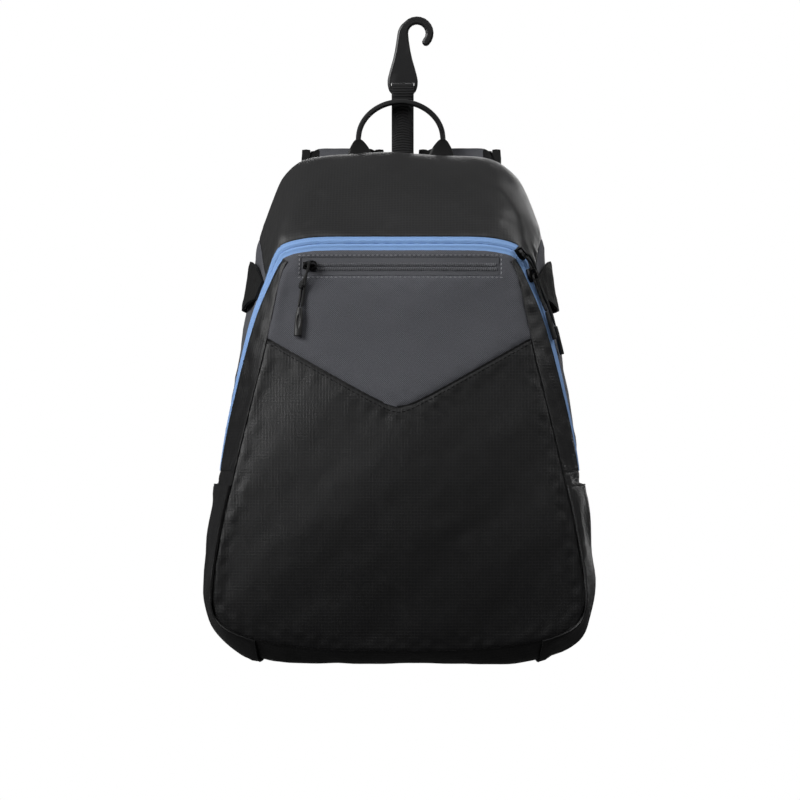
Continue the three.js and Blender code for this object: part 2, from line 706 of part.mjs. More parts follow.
// A pull: a doubled cord that runs from the grip through the slider's eye and back, and the moulded grip.
// Where the pull hangs across the zip, its cord goes round the crown, and else it lies along the zip.
const eyeHeight = sliderHeight + (crownRise - crownWire) / 2;
const overHeight = sliderHeight + crownRise + fit + cordThickness / 2;
const legGap = crownWidth / 2 + 1.6 * fit + cordThickness / 2;
const legSteps = 7;
const cordParting = 0.25;
function addPull(name, slider, route, hangs) {
  const mesh = add(`${name}_slider`, sliderGeometry(), materials.blackMetal);
  const across = slider.along.clone().cross(slider.out).normalize();
  mesh.applyMatrix4(new THREE.Matrix4().makeBasis(across, slider.along, slider.out));
  mesh.position.copy(slider.point);
  const [gripFoot, gripHead, ...knots] = route;
  const towardsGrip = gripHead.point.clone().sub(slider.point);
  const toPull = across.clone().multiplyScalar(Math.sign(across.dot(towardsGrip)));
  const nearSlider = (lift, side) => slider.point.clone()
    .addScaledVector(slider.out, lift).addScaledVector(toPull, side * legGap);
  const turn = hangs
    ? [[eyeHeight, 1], [eyeHeight, -1], [overHeight, -1], [overHeight, 1]].map((at) => nearSlider(...at))
    : [nearSlider(eyeHeight, -1), nearSlider(eyeHeight, 1)];
  const pathEnd = turn[0].clone().lerp(turn[turn.length - 1], 0.5);
  const endSpread = turn[0].distanceTo(turn[turn.length - 1]) / 2;
  const endSplit = turn[turn.length - 1].clone().sub(turn[0]).normalize();
  const path = new THREE.CatmullRomCurve3([gripHead.point, ...knots.map((k) => k.point), pathEnd]);
  const outs = [gripHead.out, ...knots.map((k) => k.out), slider.out];
  const outAt = (t) => {
    const at = Math.min(outs.length - 1.001, t * (outs.length - 1));
    return outs[Math.floor(at)].clone().lerp(outs[Math.floor(at) + 1], at % 1).normalize();
  };
  const startSpread = cordThickness / 2 + cordParting;
  const startSplit = path.getTangent(0).cross(gripHead.out).normalize();
  if (!hangs && startSplit.dot(endSplit) < 0) startSplit.negate();
  const leg = (side) => range(legSteps).map((i) => {
    const t = i / legSteps;
    const blend = smooth(1.5 * t - 0.5);
    const split = startSplit.clone().lerp(endSplit, blend).normalize();
    const spread = startSpread + (endSpread - startSpread) * blend;
    return path.getPoint(t).addScaledVector(split, side * spread);
  });
  const outsAlong = range(legSteps).map((i) => outAt(i / legSteps));
  const cordRoute = [...leg(-1), ...turn, ...leg(1).reverse()];
  const cordOuts = [...outsAlong, ...turn.map(() => slider.along), ...outsAlong.slice().reverse()];
  add(`${name}_pull_cord`, bar(cordRoute, cordOuts, cordThickness, cordThickness, 5), materials.webbing);
  const down = gripFoot.point.clone().sub(gripHead.point).normalize();
  const top = gripHead.point.clone().addScaledVector(down, 2 * fit);
  const gripRoute = range(6).map((i) => top.clone().addScaledVector(down, (gripLength * i) / 5));
  const widen = (t, from) => from + (1 - from) * smooth(3 * t);
  add(`${name}_pull_grip`, bar(gripRoute, gripRoute.map(() => gripHead.out),
    (t) => gripWidth * widen(t, 0.62), (t) => gripThickness * widen(t, 0.8), 8), materials.rubber);
}

// The two sliders of the long zip meet at its right corner, and their pulls hang down beside the zip.
// Each row is a place on the band by station and row, raised off it by lift.
const MAIN_PULLS = {
  main_upper: table("station row lift", [
    [3.05, 2, 0.2],
    [6.2, 3.2, 3],
    [5.4, 3.1, 3.4],
    [4.75, 2.85, 3.8],
    [4.35, 2.75, 3.8],
    [3.8, 3.05, 3.6],
    [3.35, 2.15, 6.2],
  ]),
  main_lower: table("station row lift", [
    [3.9, 2, 0.2],
    [5.75, 1.75, 3],
    [5.0, 1.75, 3],
    [4.55, 1.9, 2.5],
  ]),
};
for (const [name, rows] of Object.entries(MAIN_PULLS)) {
  const [slider, ...route] = rows.map((row) => onBand(row.station, row.row, row.lift));
  addPull(name, slider, route, false);
}

// The pocket's slider stands at the left end of its zip, and its pull hangs down the chevron panel.
// Each row is a place on the face: along from the slider towards the side, down from it, and the lift.
const POCKET_PULL = table("along down lift", [
  [-0.153, 1, 3],
  [-0.126, 0.58, 3],
  [-0.1, 0.4, 2],
  [-0.07, 0.22, 4.5],
]);
const pocketPullDrop = 62;
const pocketPullInset = 7.5;
function onFaceAt(x, z, lift) {
  const across = onFace(x + 2, z).sub(onFace(x - 2, z));
  const upward = onFace(x, z + 2).sub(onFace(x, z - 2));
  const out = across.cross(upward).normalize();
  return { point: onFace(x, z).addScaledVector(out, lift), out, along: upward.cross(out).normalize() };
}
const pocketSliderX = pocketZipShift - pocketZipLength / 2 + pocketPullInset;
const pocketSlider = onFaceAt(pocketSliderX, pocketMiddle, fit - pocketCoilTop);
const pocketRoute = POCKET_PULL.map((row) => onFaceAt(
  pocketSliderX + row.along * pocketPullDrop,
  pocketMiddle - row.down * pocketPullDrop,
  row.lift,
));
addPull("pocket", pocketSlider, pocketRoute, true);

// What is sewn along the top of the back panel stands behind it by this much
const backTop = onRing("backSeam", 0).z;
const backFace = backBulge + fit;

// The fence hook, drawn round the centre of its crook. Each row of its sides is a share of the shank's
// length below that centre and of half the hook's width.
const HOOK_SIDES = table("down half", [
  [0, 0.336],
  [0.35, 0.56],
  [0.62, 0.86],
  [0.79, 1],
  [0.93, 0.9],
  [1, 0.66],
]);
const crookOuter = crookRadius + crookThickness;
const crookMiddle = crookRadius + crookThickness / 2;
const crookOffset = crookRadius + shankWidth / 2 + 0.4;
const shankLength = hookHeight - crookOuter;
const crookTip = -0.766;
const crookLeave = 2.4;
const arc = (x, y, radius, from, to, steps) => range(steps + 1).map((i) => {
  const angle = from + ((to - from) * i) / steps;
  return new THREE.Vector2(x + radius * Math.cos(angle), y + radius * Math.sin(angle));
});
function hookOutline() {
  const sideOf = (sign) => new THREE.SplineCurve(HOOK_SIDES.map((row) => new THREE.Vector2(
    -crookOffset + (sign * (row.down === 0 ? shankWidth : row.half * hookWidth)) / 2,
    -row.down * shankLength,
  ))).getPoints(12);
  const leftSide = sideOf(-1);
  const turn = new THREE.QuadraticBezierCurve(
    new THREE.Vector2(Math.cos(crookLeave), Math.sin(crookLeave)).multiplyScalar(crookOuter),
    new THREE.Vector2(leftSide[0].x + 1, 0.4 * crookOuter),
    leftSide[0],
  ).getPoints(4);
  const tipRadius = crookThickness / 2;
  const tip = new THREE.Vector2(Math.cos(crookTip), Math.sin(crookTip)).multiplyScalar(crookMiddle);
  return new THREE.Shape([
    ...arc(0, 0, crookOuter, crookTip, crookLeave, 12),
    ...turn.slice(1, -1),
    ...leftSide,
    ...sideOf(1).reverse().slice(0, -1),
    ...arc(0, 0, crookRadius, Math.PI, crookTip, 11),
    ...arc(tip.x, tip.y, tipRadius, crookTip - Math.PI, crookTip, 5).slice(1, -1),
  ]);
}
const hookFoot = backTop + hookStrapFree;
const hookMiddleY = backFace + webbingThickness + fit / 2;
const crookCentre = new THREE.Vector3(hookStrapShift + crookOffset, hookMiddleY, hookFoot + shankLength);
const hookBody = new THREE.ExtrudeGeometry(hookOutline(), {
  depth: hookThickness - 2 * hookEdgeRound,
  bevelThickness: hookEdgeRound,
  bevelSize: hookEdgeRound,
  bevelOffset: -hookEdgeRound,
  bevelSegments: 2,
});
hookBody.translate(0, 0, -(hookThickness - 2 * hookEdgeRound) / 2);
const hookSlot = new THREE.BoxGeometry(webbingWidth + 4 * fit, hookSlotHeight, 2 * hookThickness);
hookSlot.translate(-crookOffset, hookBarHeight + hookSlotHeight / 2 - shankLength, 0);
const hook = toGeometry(toSolid(hookBody).subtract(toSolid(hookSlot)));
hook.rotateX(Math.PI / 2);
add("fence_hook", hook, materials.plastic).position.copy(crookCentre);

// A strip of webbing that runs up in front of a bar, over it and down behind. Its route is drawn in the
// plane of the strip's thickness and length, with the bar's top at height zero. Below the bar the two
// halves of a joined strip close up over the length between narrowingTop and narrowingFoot.
const narrowingTop = 3;
const narrowingFoot = 9;
const overBarRound = 1.1;
function strapOverBar({ bar: [barThickness, barHeight], front, behind, joined }) {
  const half = barThickness / 2 + fit + webbingThickness / 2;
  const near = webbingThickness / 2 + fit / 2;
  const rise = fit + webbingThickness / 2;
  const spread = joined ? near : half;
  const leg = (side, length) => [
    [side * spread, -length],
    [side * spread, -barHeight - narrowingFoot],
    [side * (joined ? 0.55 * (half + near) : half), -barHeight - narrowingTop],
    [side * half, -barHeight + 1],
    [side * half, -1],
    [side * (half - 0.25), rise - 0.5],
    [side * (half - overBarRound), rise],
  ];
  return [...leg(-1, front), ...leg(1, behind).reverse()].map(([v, w]) => new THREE.Vector3(0, v, w));
}
function stripOutward(route) {
  const across = new THREE.Vector3(1, 0, 0);
  return route.map((point, i) => {
    const before = route[Math.max(0, i - 1)];
    const after = route[Math.min(route.length - 1, i + 1)];
    return across.clone().cross(after.clone().sub(before)).normalize();
  });
}
const hookStrapRoute = strapOverBar({
  bar: [hookThickness, hookBarHeight],
  front: hookBarHeight + hookStrapFree + strapLap,
  behind: hookBarHeight + hookStrapFree + strapLap,
  joined: true,
});
add("hook_strap", bar(hookStrapRoute, stripOutward(hookStrapRoute), webbingWidth, webbingThickness),
  materials.webbing).position.set(hookStrapShift, hookMiddleY, hookFoot + hookBarHeight);

// The haul loop: an arch of rolled webbing in front of the hook's strap, with a flared end at each foot
const haulFoot = backTop + 2 * fit;
const haulNeck = haulFoot + haulAnchorHeight;
const haulY = haulAnchorThickness / 2 + fit;
const haulSteps = 18;
const haulRoute = range(haulSteps + 1).map((i) => {
  const angle = Math.PI * (1 - i / haulSteps);
  return new THREE.Vector3(
    haulShift + (haulSpan / 2) * Math.cos(angle),
    haulY - haulLean * Math.sin(angle) ** 2,
    haulNeck + 1.6 * fit + haulRise * Math.sin(angle),
  );
});
const haulOutward = haulRoute.map((p) =>
  new THREE.Vector3(p.x - haulShift, 0, 2 * (p.z - haulNeck)).normalize());
haulOutward[0].set(-1, 0, 0);
haulOutward[haulSteps].set(1, 0, 0);
add("haul_loop", bar(haulRoute, haulOutward, haulDepth, haulThickness, 6), materials.webbing);
for (const [side, sign] of [["right", 1], ["left", -1]]) {
  const x = haulShift + (sign * haulSpan) / 2;
  const route = range(6).map((i) => new THREE.Vector3(
    x - sign * 1.6 * (1 - i / 5), haulY, haulFoot + (haulAnchorHeight * i) / 5,
  ));
  const width = (t) => haulAnchorWidth + (haulThickness + 1 - haulAnchorWidth) * t ** 1.7;
  const thickness = (t) => haulAnchorThickness + (haulDepth - haulAnchorThickness) * 0.8 * t ** 1.6;
  add(`haul_anchor_${side}`, bar(route, route.map(() => new THREE.Vector3(0, 1, 0)), width, thickness),
    materials.rubber);
}

// Shoulder straps: sewn on the back panel under its top seam, up, over and down behind it.
// Each row is a share of half the bag's width, of the straps' reach behind the back, and of the height.
const STRAP_PATH = table("drift reach up", [
  [0, 0, 0.915],
  [0, 0, 0.95],
  [0, 0.02, 0.985],
  [0, 0.3, 1.009],
  [0, 0.64, 0.985],
  [0.01, 0.85, 0.93],
  [0.06, 1, 0.78],
  [0.11, 1, 0.6],
  [0.17, 0.85, 0.43],
  [0.23, 0.6, 0.33],
]);
const sideAxis = new THREE.Vector3(1, 0, 0);
function strapCurve(sign) {
  return new THREE.CatmullRomCurve3(STRAP_PATH.map((row, i) => new THREE.Vector3(
    sign * (strapSpacing / 2 + (row.drift * bagWidth) / 2),
    backFace + padThickness / 2 + row.reach * strapReach,
    i === 0 ? backTop - strapLap : row.up * bagHeight,
  )), false, "centripetal");
}
function onStrap(curve, along, across, lift) {
  const u = along / curve.getLength();
  const tangent = curve.getTangentAt(Math.min(1, u));
  const sideways = sideAxis.clone().addScaledVector(tangent, -tangent.x).normalize();
  const out = sideways.clone().cross(tangent).normalize();
  const point = curve.getPointAt(Math.min(1, u)).addScaledVector(sideways, across);
  const beyond = Math.max(0, along - curve.getLength());
  return { point: point.addScaledVector(out, lift).addScaledVector(tangent, beyond), out };
}
const padHalf = (share) => (padWidth / 2) * (1 - padNarrowing * smooth(share));
for (const [side, sign] of [["right", 1], ["left", -1]]) {
  const curve = strapCurve(sign);
  const straight = curve.getLength() - padRound;
  const rim = 2 * fit + bindingWidth / 2;
  const rows = range(18).map((i) => (straight * i) / 17);
  const roundSteps = [0.2, 0.4, 0.6, 0.8, 1];
  const edge = [
    ...rows.map((s) => [padHalf(s / straight), s]),
    ...roundSteps.map((t) => [
      padHalf(1) * Math.cos((t * Math.PI) / 2), straight + padRound * Math.sin((t * Math.PI) / 2),
    ]),
  ];
  edge[edge.length - 1][0] = 0.12 * padHalf(1);
  const padGrid = {
    points: [-1, -0.5, 0, 0.5, 1].map((a) => edge.map(([half, s]) => onStrap(curve, s, a * half, 0).point)),
  };
  gridNormals(padGrid);
  add(`shoulder_strap_${side}`, sheet(padGrid, () => true, {
    skin: () => padThickness / 2,
    wall: () => padThickness,
    rim: 0,
  }), materials.meshPad);
  const bindingEdge = [
    ...rows.map((s) => [padHalf(s / straight) + rim, s]),
    ...roundSteps.map((t) => [
      (padHalf(1) + rim) * Math.cos((t * Math.PI) / 2),
      straight + (padRound + rim) * Math.sin((t * Math.PI) / 2),
    ]),
  ];
  const otherEdge = bindingEdge.slice(0, -1).reverse().map(([half, s]) => [-half, s]);
  const around = [...bindingEdge, ...otherEdge];
  const places = around.map(([across, s]) => onStrap(curve, s, across, 0));
  add(`strap_binding_${side}`, bar(places.map((p) => p.point), places.map((p) => p.out),
    bindingWidth, bindingThickness), materials.webbing);

  // The lower webbing, its lock and its anchor lie on the line from the pad's end to the base's corner
  const padEnd = onStrap(curve, straight + padRound + 2 * rim + fit, 0, 0).point;
  const anchorTop = new THREE.Vector3(
    sign * (onRing("backSeam", 9.6).x - anchorInset - anchorSize / 3),
    backFace + anchorThickness + fit + webbingThickness / 2,
    anchorInset + 0.75 * anchorSize + onRing("backSeam", 10).z,
  );
  const down = anchorTop.clone().sub(padEnd);
  const reach = down.length();
  down.normalize();
  const line = new THREE.Group();
  const acrossLine = sideAxis.clone().addScaledVector(down, -down.x).normalize();
  const up = down.clone().negate();
  line.applyMatrix4(new THREE.Matrix4().makeBasis(acrossLine, up.clone().cross(acrossLine), up));
  line.position.copy(padEnd);
  bag.add(line);

  const lockTop = fit + 2 * webbingThickness;
  const lockHeight = 3 * lockBar + 2 * lockSlot;
  const lockShape = new THREE.Shape();
  const lockHalf = lowerWebWidth / 2 + 2 * fit + lockRim;
  lockShape.moveTo(-lockHalf, 0);
  lockShape.lineTo(-lockHalf, -lockHeight);
  lockShape.lineTo(lockHalf, -lockHeight);
  lockShape.lineTo(lockHalf, 0);
  for (const top of [-lockBar, -2 * lockBar - lockSlot]) {
    const slot = new THREE.Path();
    const slotHalf = lockHalf - lockRim;
    slot.moveTo(-slotHalf, top);
    slot.lineTo(slotHalf, top);
    slot.lineTo(slotHalf, top - lockSlot);
    slot.lineTo(-slotHalf, top - lockSlot);
    lockShape.holes.push(slot);
  }
  const lock = new THREE.ExtrudeGeometry(lockShape, { depth: lockThickness, bevelEnabled: false });
  lock.translate(0, 0, -lockThickness / 2);
  lock.rotateX(Math.PI / 2);
  add(`strap_lock_${side}`, lock, materials.plastic, line).position.set(0, 0, -lockTop);

  const tabHalf = lockThickness / 2 + fit + webbingThickness / 2;
  const tabTop = lockTop - fit;
  const tab = [
    [-tabHalf, tabTop], [-tabHalf, -lockBar + 1],
    [-tabHalf + 0.25, -lockBar - 2 * fit],
    [-tabHalf + overBarRound, -lockBar - fit - webbingThickness / 2],
  ];
  const tabWhole = [...tab, ...tab.map(([v, w]) => [-v, w]).reverse()];
  const tabPoints = tabWhole.map(([v, w]) => new THREE.Vector3(0, v, w));
  add(`strap_tab_${side}`, bar(tabPoints, stripOutward(tabPoints), lowerWebWidth, webbingThickness),
    materials.webbing, line).position.set(0, 0, -lockTop);
  const slideTop = lockBar + lockSlot;
  const webRoute = strapOverBar({
    bar: [lockThickness, lockHeight - slideTop],
    front: tailLength,
    behind: reach - lockTop - slideTop,
    joined: false,
  });
  add(`strap_webbing_${side}`, bar(webRoute, stripOutward(webRoute), lowerWebWidth, webbingThickness),
    materials.webbing, line).position.set(0, 0, -lockTop - slideTop);

  const corner = new THREE.Shape();
  corner.moveTo(0, 0);
  corner.lineTo(0, anchorSize);
  corner.lineTo(-sign * 0.45 * anchorSize, anchorSize);
  corner.lineTo(-sign * anchorSize, 0.3 * anchorSize);
  corner.lineTo(-sign * anchorSize, 0);
  const anchor = new THREE.ExtrudeGeometry(corner, { depth: anchorThickness, bevelEnabled: false });
  anchor.rotateX(Math.PI / 2);
  add(`strap_anchor_${side}`, anchor, materials.webbing).position.set(
    sign * (onRing("backSeam", 9.6).x - anchorInset), backFace + anchorThickness,
    onRing("backSeam", 10).z + anchorInset,
  );
}

// The bag hangs from the top of its hook's crook
bag.position.copy(crookCentre).negate();
bag.position.z -= crookRadius;
const part = new THREE.Group();
part.add(bag);

export default part;
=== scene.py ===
"""The looks of a baseball bat backpack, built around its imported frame.

The bag hangs by its fence hook. Blender's lengths are in metres in the part's own frame, whose origin is
the top of the hook's crook. Places on the bag are written in millimetres from the middle of its back seam,
at its base: x to the right as seen from the front, y towards the wearer, z up.
"""

from __future__ import annotations

import logging
import math
from collections.abc import Callable, Iterator, Sequence
from contextlib import contextmanager
from dataclasses import dataclass, field
from enum import Enum

import bpy
import numpy as np
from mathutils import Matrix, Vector
from mathutils.bvhtree import BVHTree
from mathutils.kdtree import KDTree

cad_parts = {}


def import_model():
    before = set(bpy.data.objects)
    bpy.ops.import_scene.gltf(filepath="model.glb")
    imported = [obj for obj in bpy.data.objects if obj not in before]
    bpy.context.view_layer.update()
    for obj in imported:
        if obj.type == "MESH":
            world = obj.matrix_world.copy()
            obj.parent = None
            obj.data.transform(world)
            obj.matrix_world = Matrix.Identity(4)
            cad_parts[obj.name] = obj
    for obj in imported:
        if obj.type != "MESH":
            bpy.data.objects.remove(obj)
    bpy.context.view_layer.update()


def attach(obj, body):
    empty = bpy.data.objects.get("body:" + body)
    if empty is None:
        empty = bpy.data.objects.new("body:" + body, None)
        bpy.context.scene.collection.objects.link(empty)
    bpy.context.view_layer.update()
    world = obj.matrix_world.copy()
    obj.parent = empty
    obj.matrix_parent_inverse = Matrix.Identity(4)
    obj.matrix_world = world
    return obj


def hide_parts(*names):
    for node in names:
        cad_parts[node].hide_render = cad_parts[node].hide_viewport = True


LOG = logging.getLogger("backpack")
MM = 0.001
BAG_ZERO = np.array((-14.50, -7.05, -571.71))
BAG_CORE = np.array((0.0, -80.0, 226.0))
CORE_HEIGHTS = (70, 380)
# Planes in bag millimetres: one through the front face, and one well ahead of the bag.
FACE_Y = -150.0
AHEAD_Y = -400.0
BODY = "root"
QUAD_BEND = math.radians(70)
EDGE_STEP = 2
WELD = 0.01
TINY = 1e-9

# The two ways, across and up, that a straight weave runs over a panel.
FRONT_MAP = ((1.0, 0.0, 0.0), (0.0, 0.0, 1.0))
SIDE_MAP = ((0.0, 1.0, 0.0), (0.0, 0.0, 1.0))
HOOD_MAP = ((1.0, 0.0, 0.0), (0.0, 0.82, 0.57))

Array = np.ndarray
Colour = tuple[float, float, float]
Place = tuple[float, float, float]


def in_frame(points: Sequence[Sequence[float]] | Array) -> Array:
    """Turns bag millimetres into metres in the part's frame."""
    return (np.asarray(points, float) + BAG_ZERO) * MM


def in_bag(points: Array) -> Array:
    """Turns metres in the part's frame into bag millimetres."""
    return np.asarray(points, float) / MM - BAG_ZERO


def linear(red: float, green: float, blue: float) -> Colour:
    """Turns a screen colour with 0 to 255 a channel into a linear one."""
    def one(level: float) -> float:
        share = level / 255
        return share / 12.92 if share <= 0.04045 else ((share + 0.055) / 1.055) ** 2.4

    return one(red), one(green), one(blue)


def ease(value: Array) -> Array:
    """A smooth step from 0 to 1."""
    held = np.clip(value, 0, 1)
    return held * held * (3 - 2 * held)


# Meshes


def select_only(piece: bpy.types.Object) -> None:
    """Selects one object alone and makes it the active one."""
    bpy.ops.object.select_all(action="DESELECT")
    piece.select_set(True)
    bpy.context.view_layer.objects.active = piece


@contextmanager
def editing(piece: bpy.types.Object) -> Iterator[None]:
    """Opens edit mode on one piece for the calls inside."""
    select_only(piece)
    bpy.ops.object.mode_set(mode="EDIT")
    yield
    bpy.ops.object.mode_set(mode="OBJECT")


def choose(kind: str, action: str = "DESELECT") -> None:
    """Sets what edit mode selects, and selects all of it or none."""
    bpy.ops.mesh.select_mode(type=kind)
    bpy.ops.mesh.select_all(action=action)


def face_outwards() -> None:
    """Selects everything in edit mode, and turns its faces outwards."""
    bpy.ops.mesh.select_all(action="SELECT")
    bpy.ops.mesh.normals_make_consistent(inside=False)


def modify(piece: bpy.types.Object, kind: str, **settings: object) -> None:
    """Adds a modifier of some kind to a piece, with its settings, and applies it."""
    select_only(piece)
    modifier = piece.modifiers.new("step", kind)
    for key, value in settings.items():
        setattr(modifier, key, value)
    bpy.ops.object.modifier_apply(modifier="step")


def read_rows(items: bpy.types.bpy_prop_collection, name: str, width: int, kind: type = float) -> Array:
    """Reads one value of every item of a mesh, as rows of some width."""
    found = np.empty(len(items) * width, kind)
    items.foreach_get(name, found)
    return found.reshape(-1, width)


def points_of(piece: bpy.types.Object) -> Array:
    """The vertices of a piece in bag millimetres."""
    return in_bag(read_rows(piece.data.vertices, "co", 3))


def normals_of(piece: bpy.types.Object) -> Array:
    """The vertex normals of a piece."""
    return read_rows(piece.data.vertex_normals, "vector", 3)


def corners_of(piece: bpy.types.Object) -> Array:
    """The place in bag millimetres of every corner of a piece's faces."""
    return points_of(piece)[read_rows(piece.data.loops, "vertex_index", 1, int)[:, 0]]


def put_points(piece: bpy.types.Object, points: Array) -> None:
    """Moves the vertices of a piece to places in bag millimetres."""
    piece.data.vertices.foreach_set("co", in_frame(points).ravel())
    piece.data.update()


def new_piece(name: str, points: Array, faces: Sequence[Sequence[int]]) -> bpy.types.Object:
    """Makes an object from points in bag millimetres.

    Args:
        name: The piece's name.
        points: Its vertices.
        faces: Vertex numbers of each face, seen from outside.

    Returns:
        The object, linked and at the origin.
    """
    mesh = bpy.data.meshes.new(name)
    mesh.from_pydata([tuple(p) for p in in_frame(points)], [], [tuple(f) for f in faces])
    mesh.update()
    piece = bpy.data.objects.new(name, mesh)
    bpy.context.scene.collection.objects.link(piece)
    return piece


def copy_of(node: str, name: str) -> bpy.types.Object:
    """Copies a node of the frame as one welded mesh of quads.

    Args:
        node: The node's name.
        name: The new piece's name.

    Returns:
        The copy, without a material.
    """
    source = bpy.data.objects[node]
    piece = bpy.data.objects.new(name, source.data.copy())
    bpy.context.scene.collection.objects.link(piece)
    piece.data.materials.clear()
    select_only(piece)
    bpy.ops.mesh.customdata_custom_splitnormals_clear()
    with editing(piece):
        bpy.ops.mesh.select_all(action="SELECT")
        bpy.ops.mesh.remove_doubles(threshold=WELD * MM)
        bpy.ops.mesh.tris_convert_to_quads(face_threshold=QUAD_BEND, shape_threshold=QUAD_BEND)
        face_outwards()
    for layer in list(piece.data.uv_layers):
        piece.data.uv_layers.remove(layer)
    return piece


def crease_sharp(piece: bpy.types.Object, angle: float, amount: float = 1.0) -> Array:
    """Creases the edges of a piece that bend by more than an angle.

    Args:
        piece: The piece to crease.
        angle: The bend in degrees.
        amount: How sharp the crease stays when it is subdivided.

    Returns:
        Points along those edges in bag millimetres.
    """
    with editing(piece):
        choose("EDGE")
        bpy.ops.mesh.edges_select_sharp(sharpness=math.radians(angle))
        bpy.ops.transform.edge_crease(value=amount)
    return along_edges(piece, [edge for edge in piece.data.edges if edge.select])


def along_edges(piece: bpy.types.Object, edges: Sequence[bpy.types.MeshEdge]) -> Array:
    """Points along some edges of a piece in bag millimetres, an EDGE_STEP apart or less."""
    points = points_of(piece)
    along = [np.empty((0, 3))]
    for edge in edges:
        start, end = points[edge.vertices[0]], points[edge.vertices[1]]
        count = max(2, int(np.linalg.norm(end - start) / EDGE_STEP) + 1)
        along.append(start + (end - start) * np.linspace(0, 1, count)[:, None])
    return np.concatenate(along)


def edges_of(node: str) -> Array:
    """Points along every edge of a node of the frame, in bag millimetres."""
    found = bpy.data.objects[node]
    return along_edges(found, found.data.edges)


def distance_to(points: Array, rim: Array) -> Array:
    """How far each point is from the nearest point of a rim, in millimetres."""
    tree = KDTree(len(rim))
    for number, point in enumerate(rim):
        tree.insert(point, number)
    tree.balance()
    return np.array([tree.find(point)[2] for point in points])


def subdivide(piece: bpy.types.Object, levels: int) -> None:
    """Applies a subdivision surface of some levels."""
    modify(piece, "SUBSURF", levels=levels, render_levels=levels)


def bevel(piece: bpy.types.Object, width: float) -> None:
    """Rounds the sharp edges of a piece by a width in millimetres."""
    modify(piece, "BEVEL", width=width * MM, segments=2, limit_method="ANGLE")


def shade(piece: bpy.types.Object, angle: float = 40) -> None:
    """Shades a piece smooth, but for edges that bend more than an angle."""
    select_only(piece)
    bpy.ops.object.shade_smooth_by_angle(angle=math.radians(angle))


def outward_sign(points: Array, normals: Array) -> Array:
    """Plus one where a normal points away from the bag's core, and else minus one."""
    core = np.tile(BAG_CORE, (len(points), 1))
    core[:, 2] = np.clip(points[:, 2], *CORE_HEIGHTS)
    return np.where(((points - core) * normals).sum(1) >= 0, 1.0, -1.0)


def lay_out(piece: bpy.types.Object, long_way: bool = False, angle: float = 60) -> None:
    """Unwraps a piece with its map in metres, so that a weave keeps its real size.

    Args:
        piece: The piece, before it is subdivided.
        long_way: Turns the map's second axis along the longest side, and else upwards.
        angle: Edges that bend more than this many degrees part the cloth.
    """
    with editing(piece):
        choose("EDGE")
        bpy.ops.mesh.edges_select_sharp(sharpness=math.radians(angle))
        bpy.ops.mesh.mark_seam(clear=False)
        choose("FACE", "SELECT")
        bpy.ops.uv.unwrap(method="ANGLE_BASED", margin=0.001)
    layer = piece.data.uv_layers.active
    flat = read_rows(layer.data, "uv", 2)
    place = corners_of(piece) * MM
    for loops in islands(piece.data):
        flat[loops] = true_size(flat[loops], place[loops], long_way)
    layer.data.foreach_set("uv", flat.ravel())


def lay_flat(piece: bpy.types.Object, across: Sequence[float], up: Sequence[float]) -> None:
    """Maps a piece in metres along two fixed ways, for cloth whose weave runs straight over a panel.

    Args:
        piece: The piece, whose shape is final and which is laid out already.
        across: The way of the map's first axis.
        up: The way of its second axis.
    """
    flat = corners_of(piece) @ np.array((across, up), float).T * MM
    piece.data.uv_layers.active.data.foreach_set("uv", flat.ravel())


def islands(mesh: bpy.types.Mesh) -> list[Array]:
    """The loops of each part of a mesh that seams cut apart."""
    parent = list(range(len(mesh.polygons)))

    def root(number: int) -> int:
        while parent[number] != number:
            parent[number] = parent[parent[number]]
            number = parent[number]
        return number

    sides: dict[int, int] = {}
    for polygon in mesh.polygons:
        for loop in polygon.loop_indices:
            edge = mesh.loops[loop].edge_index
            if not mesh.edges[edge].use_seam:
                if edge in sides:
                    parent[root(polygon.index)] = root(sides[edge])
                else:
                    sides[edge] = polygon.index
    found: dict[int, list[int]] = {}
    for polygon in mesh.polygons:
        found.setdefault(root(polygon.index), []).extend(polygon.loop_indices)
    return [np.array(loops) for loops in found.values()]


def true_size(flat: Array, place: Array, long_way: bool) -> Array:
    """Scales and turns one part of a map to the size of the cloth that it covers."""
    span = place.max(0) - place.min(0)
    centre = flat.mean(0)
    rest = flat - centre
    if long_way:
        _, _, axes = np.linalg.svd(rest, full_matrices=False)
        up = axes[0]
    else:
        height = place[:, 2] if span[2] > 0.3 * max(span[0], span[1]) else place[:, 1]
        up = np.linalg.lstsq(rest, height - height.mean(), rcond=None)[0]
    size = np.linalg.norm(up)
    up = up / size if size > TINY else np.array((0.0, 1.0))
    turn = np.array(((up[1], -up[0]), (up[0], up[1])))
    edges = np.linalg.norm(np.diff(place, axis=0), axis=1)
    steps = np.linalg.norm(np.diff(flat, axis=0), axis=1)
    scale = edges.sum() / max(steps.sum(), TINY)
    return (rest @ turn.T) * scale + centre


# Finishes

# The ripstop's finer threads in one square, how steep its thick ones are, and the relief's three shares:
# fine threads, thick threads and what lies between them.
RIP_THREADS = 6
RIP_SLOPE = 7.0
RIP_LEVELS = (0.12, 0.75, 0.12)
MESH_HOLE = 0.25
# The scales of the noises that age a surface, and where and how fast a scuff begins.
SLOW_SHADES, LINT, SCUFFS, GRAINS = 16, 900, 70, 1600
SCUFF_START, SCUFF_SLOPE = 0.58, 6.0
CLOTH_SCUFF, HARD_SCUFF = 0.12, 0.15
HARD_AGE = 0.2
SHEEN_ROUGHNESS = 0.45


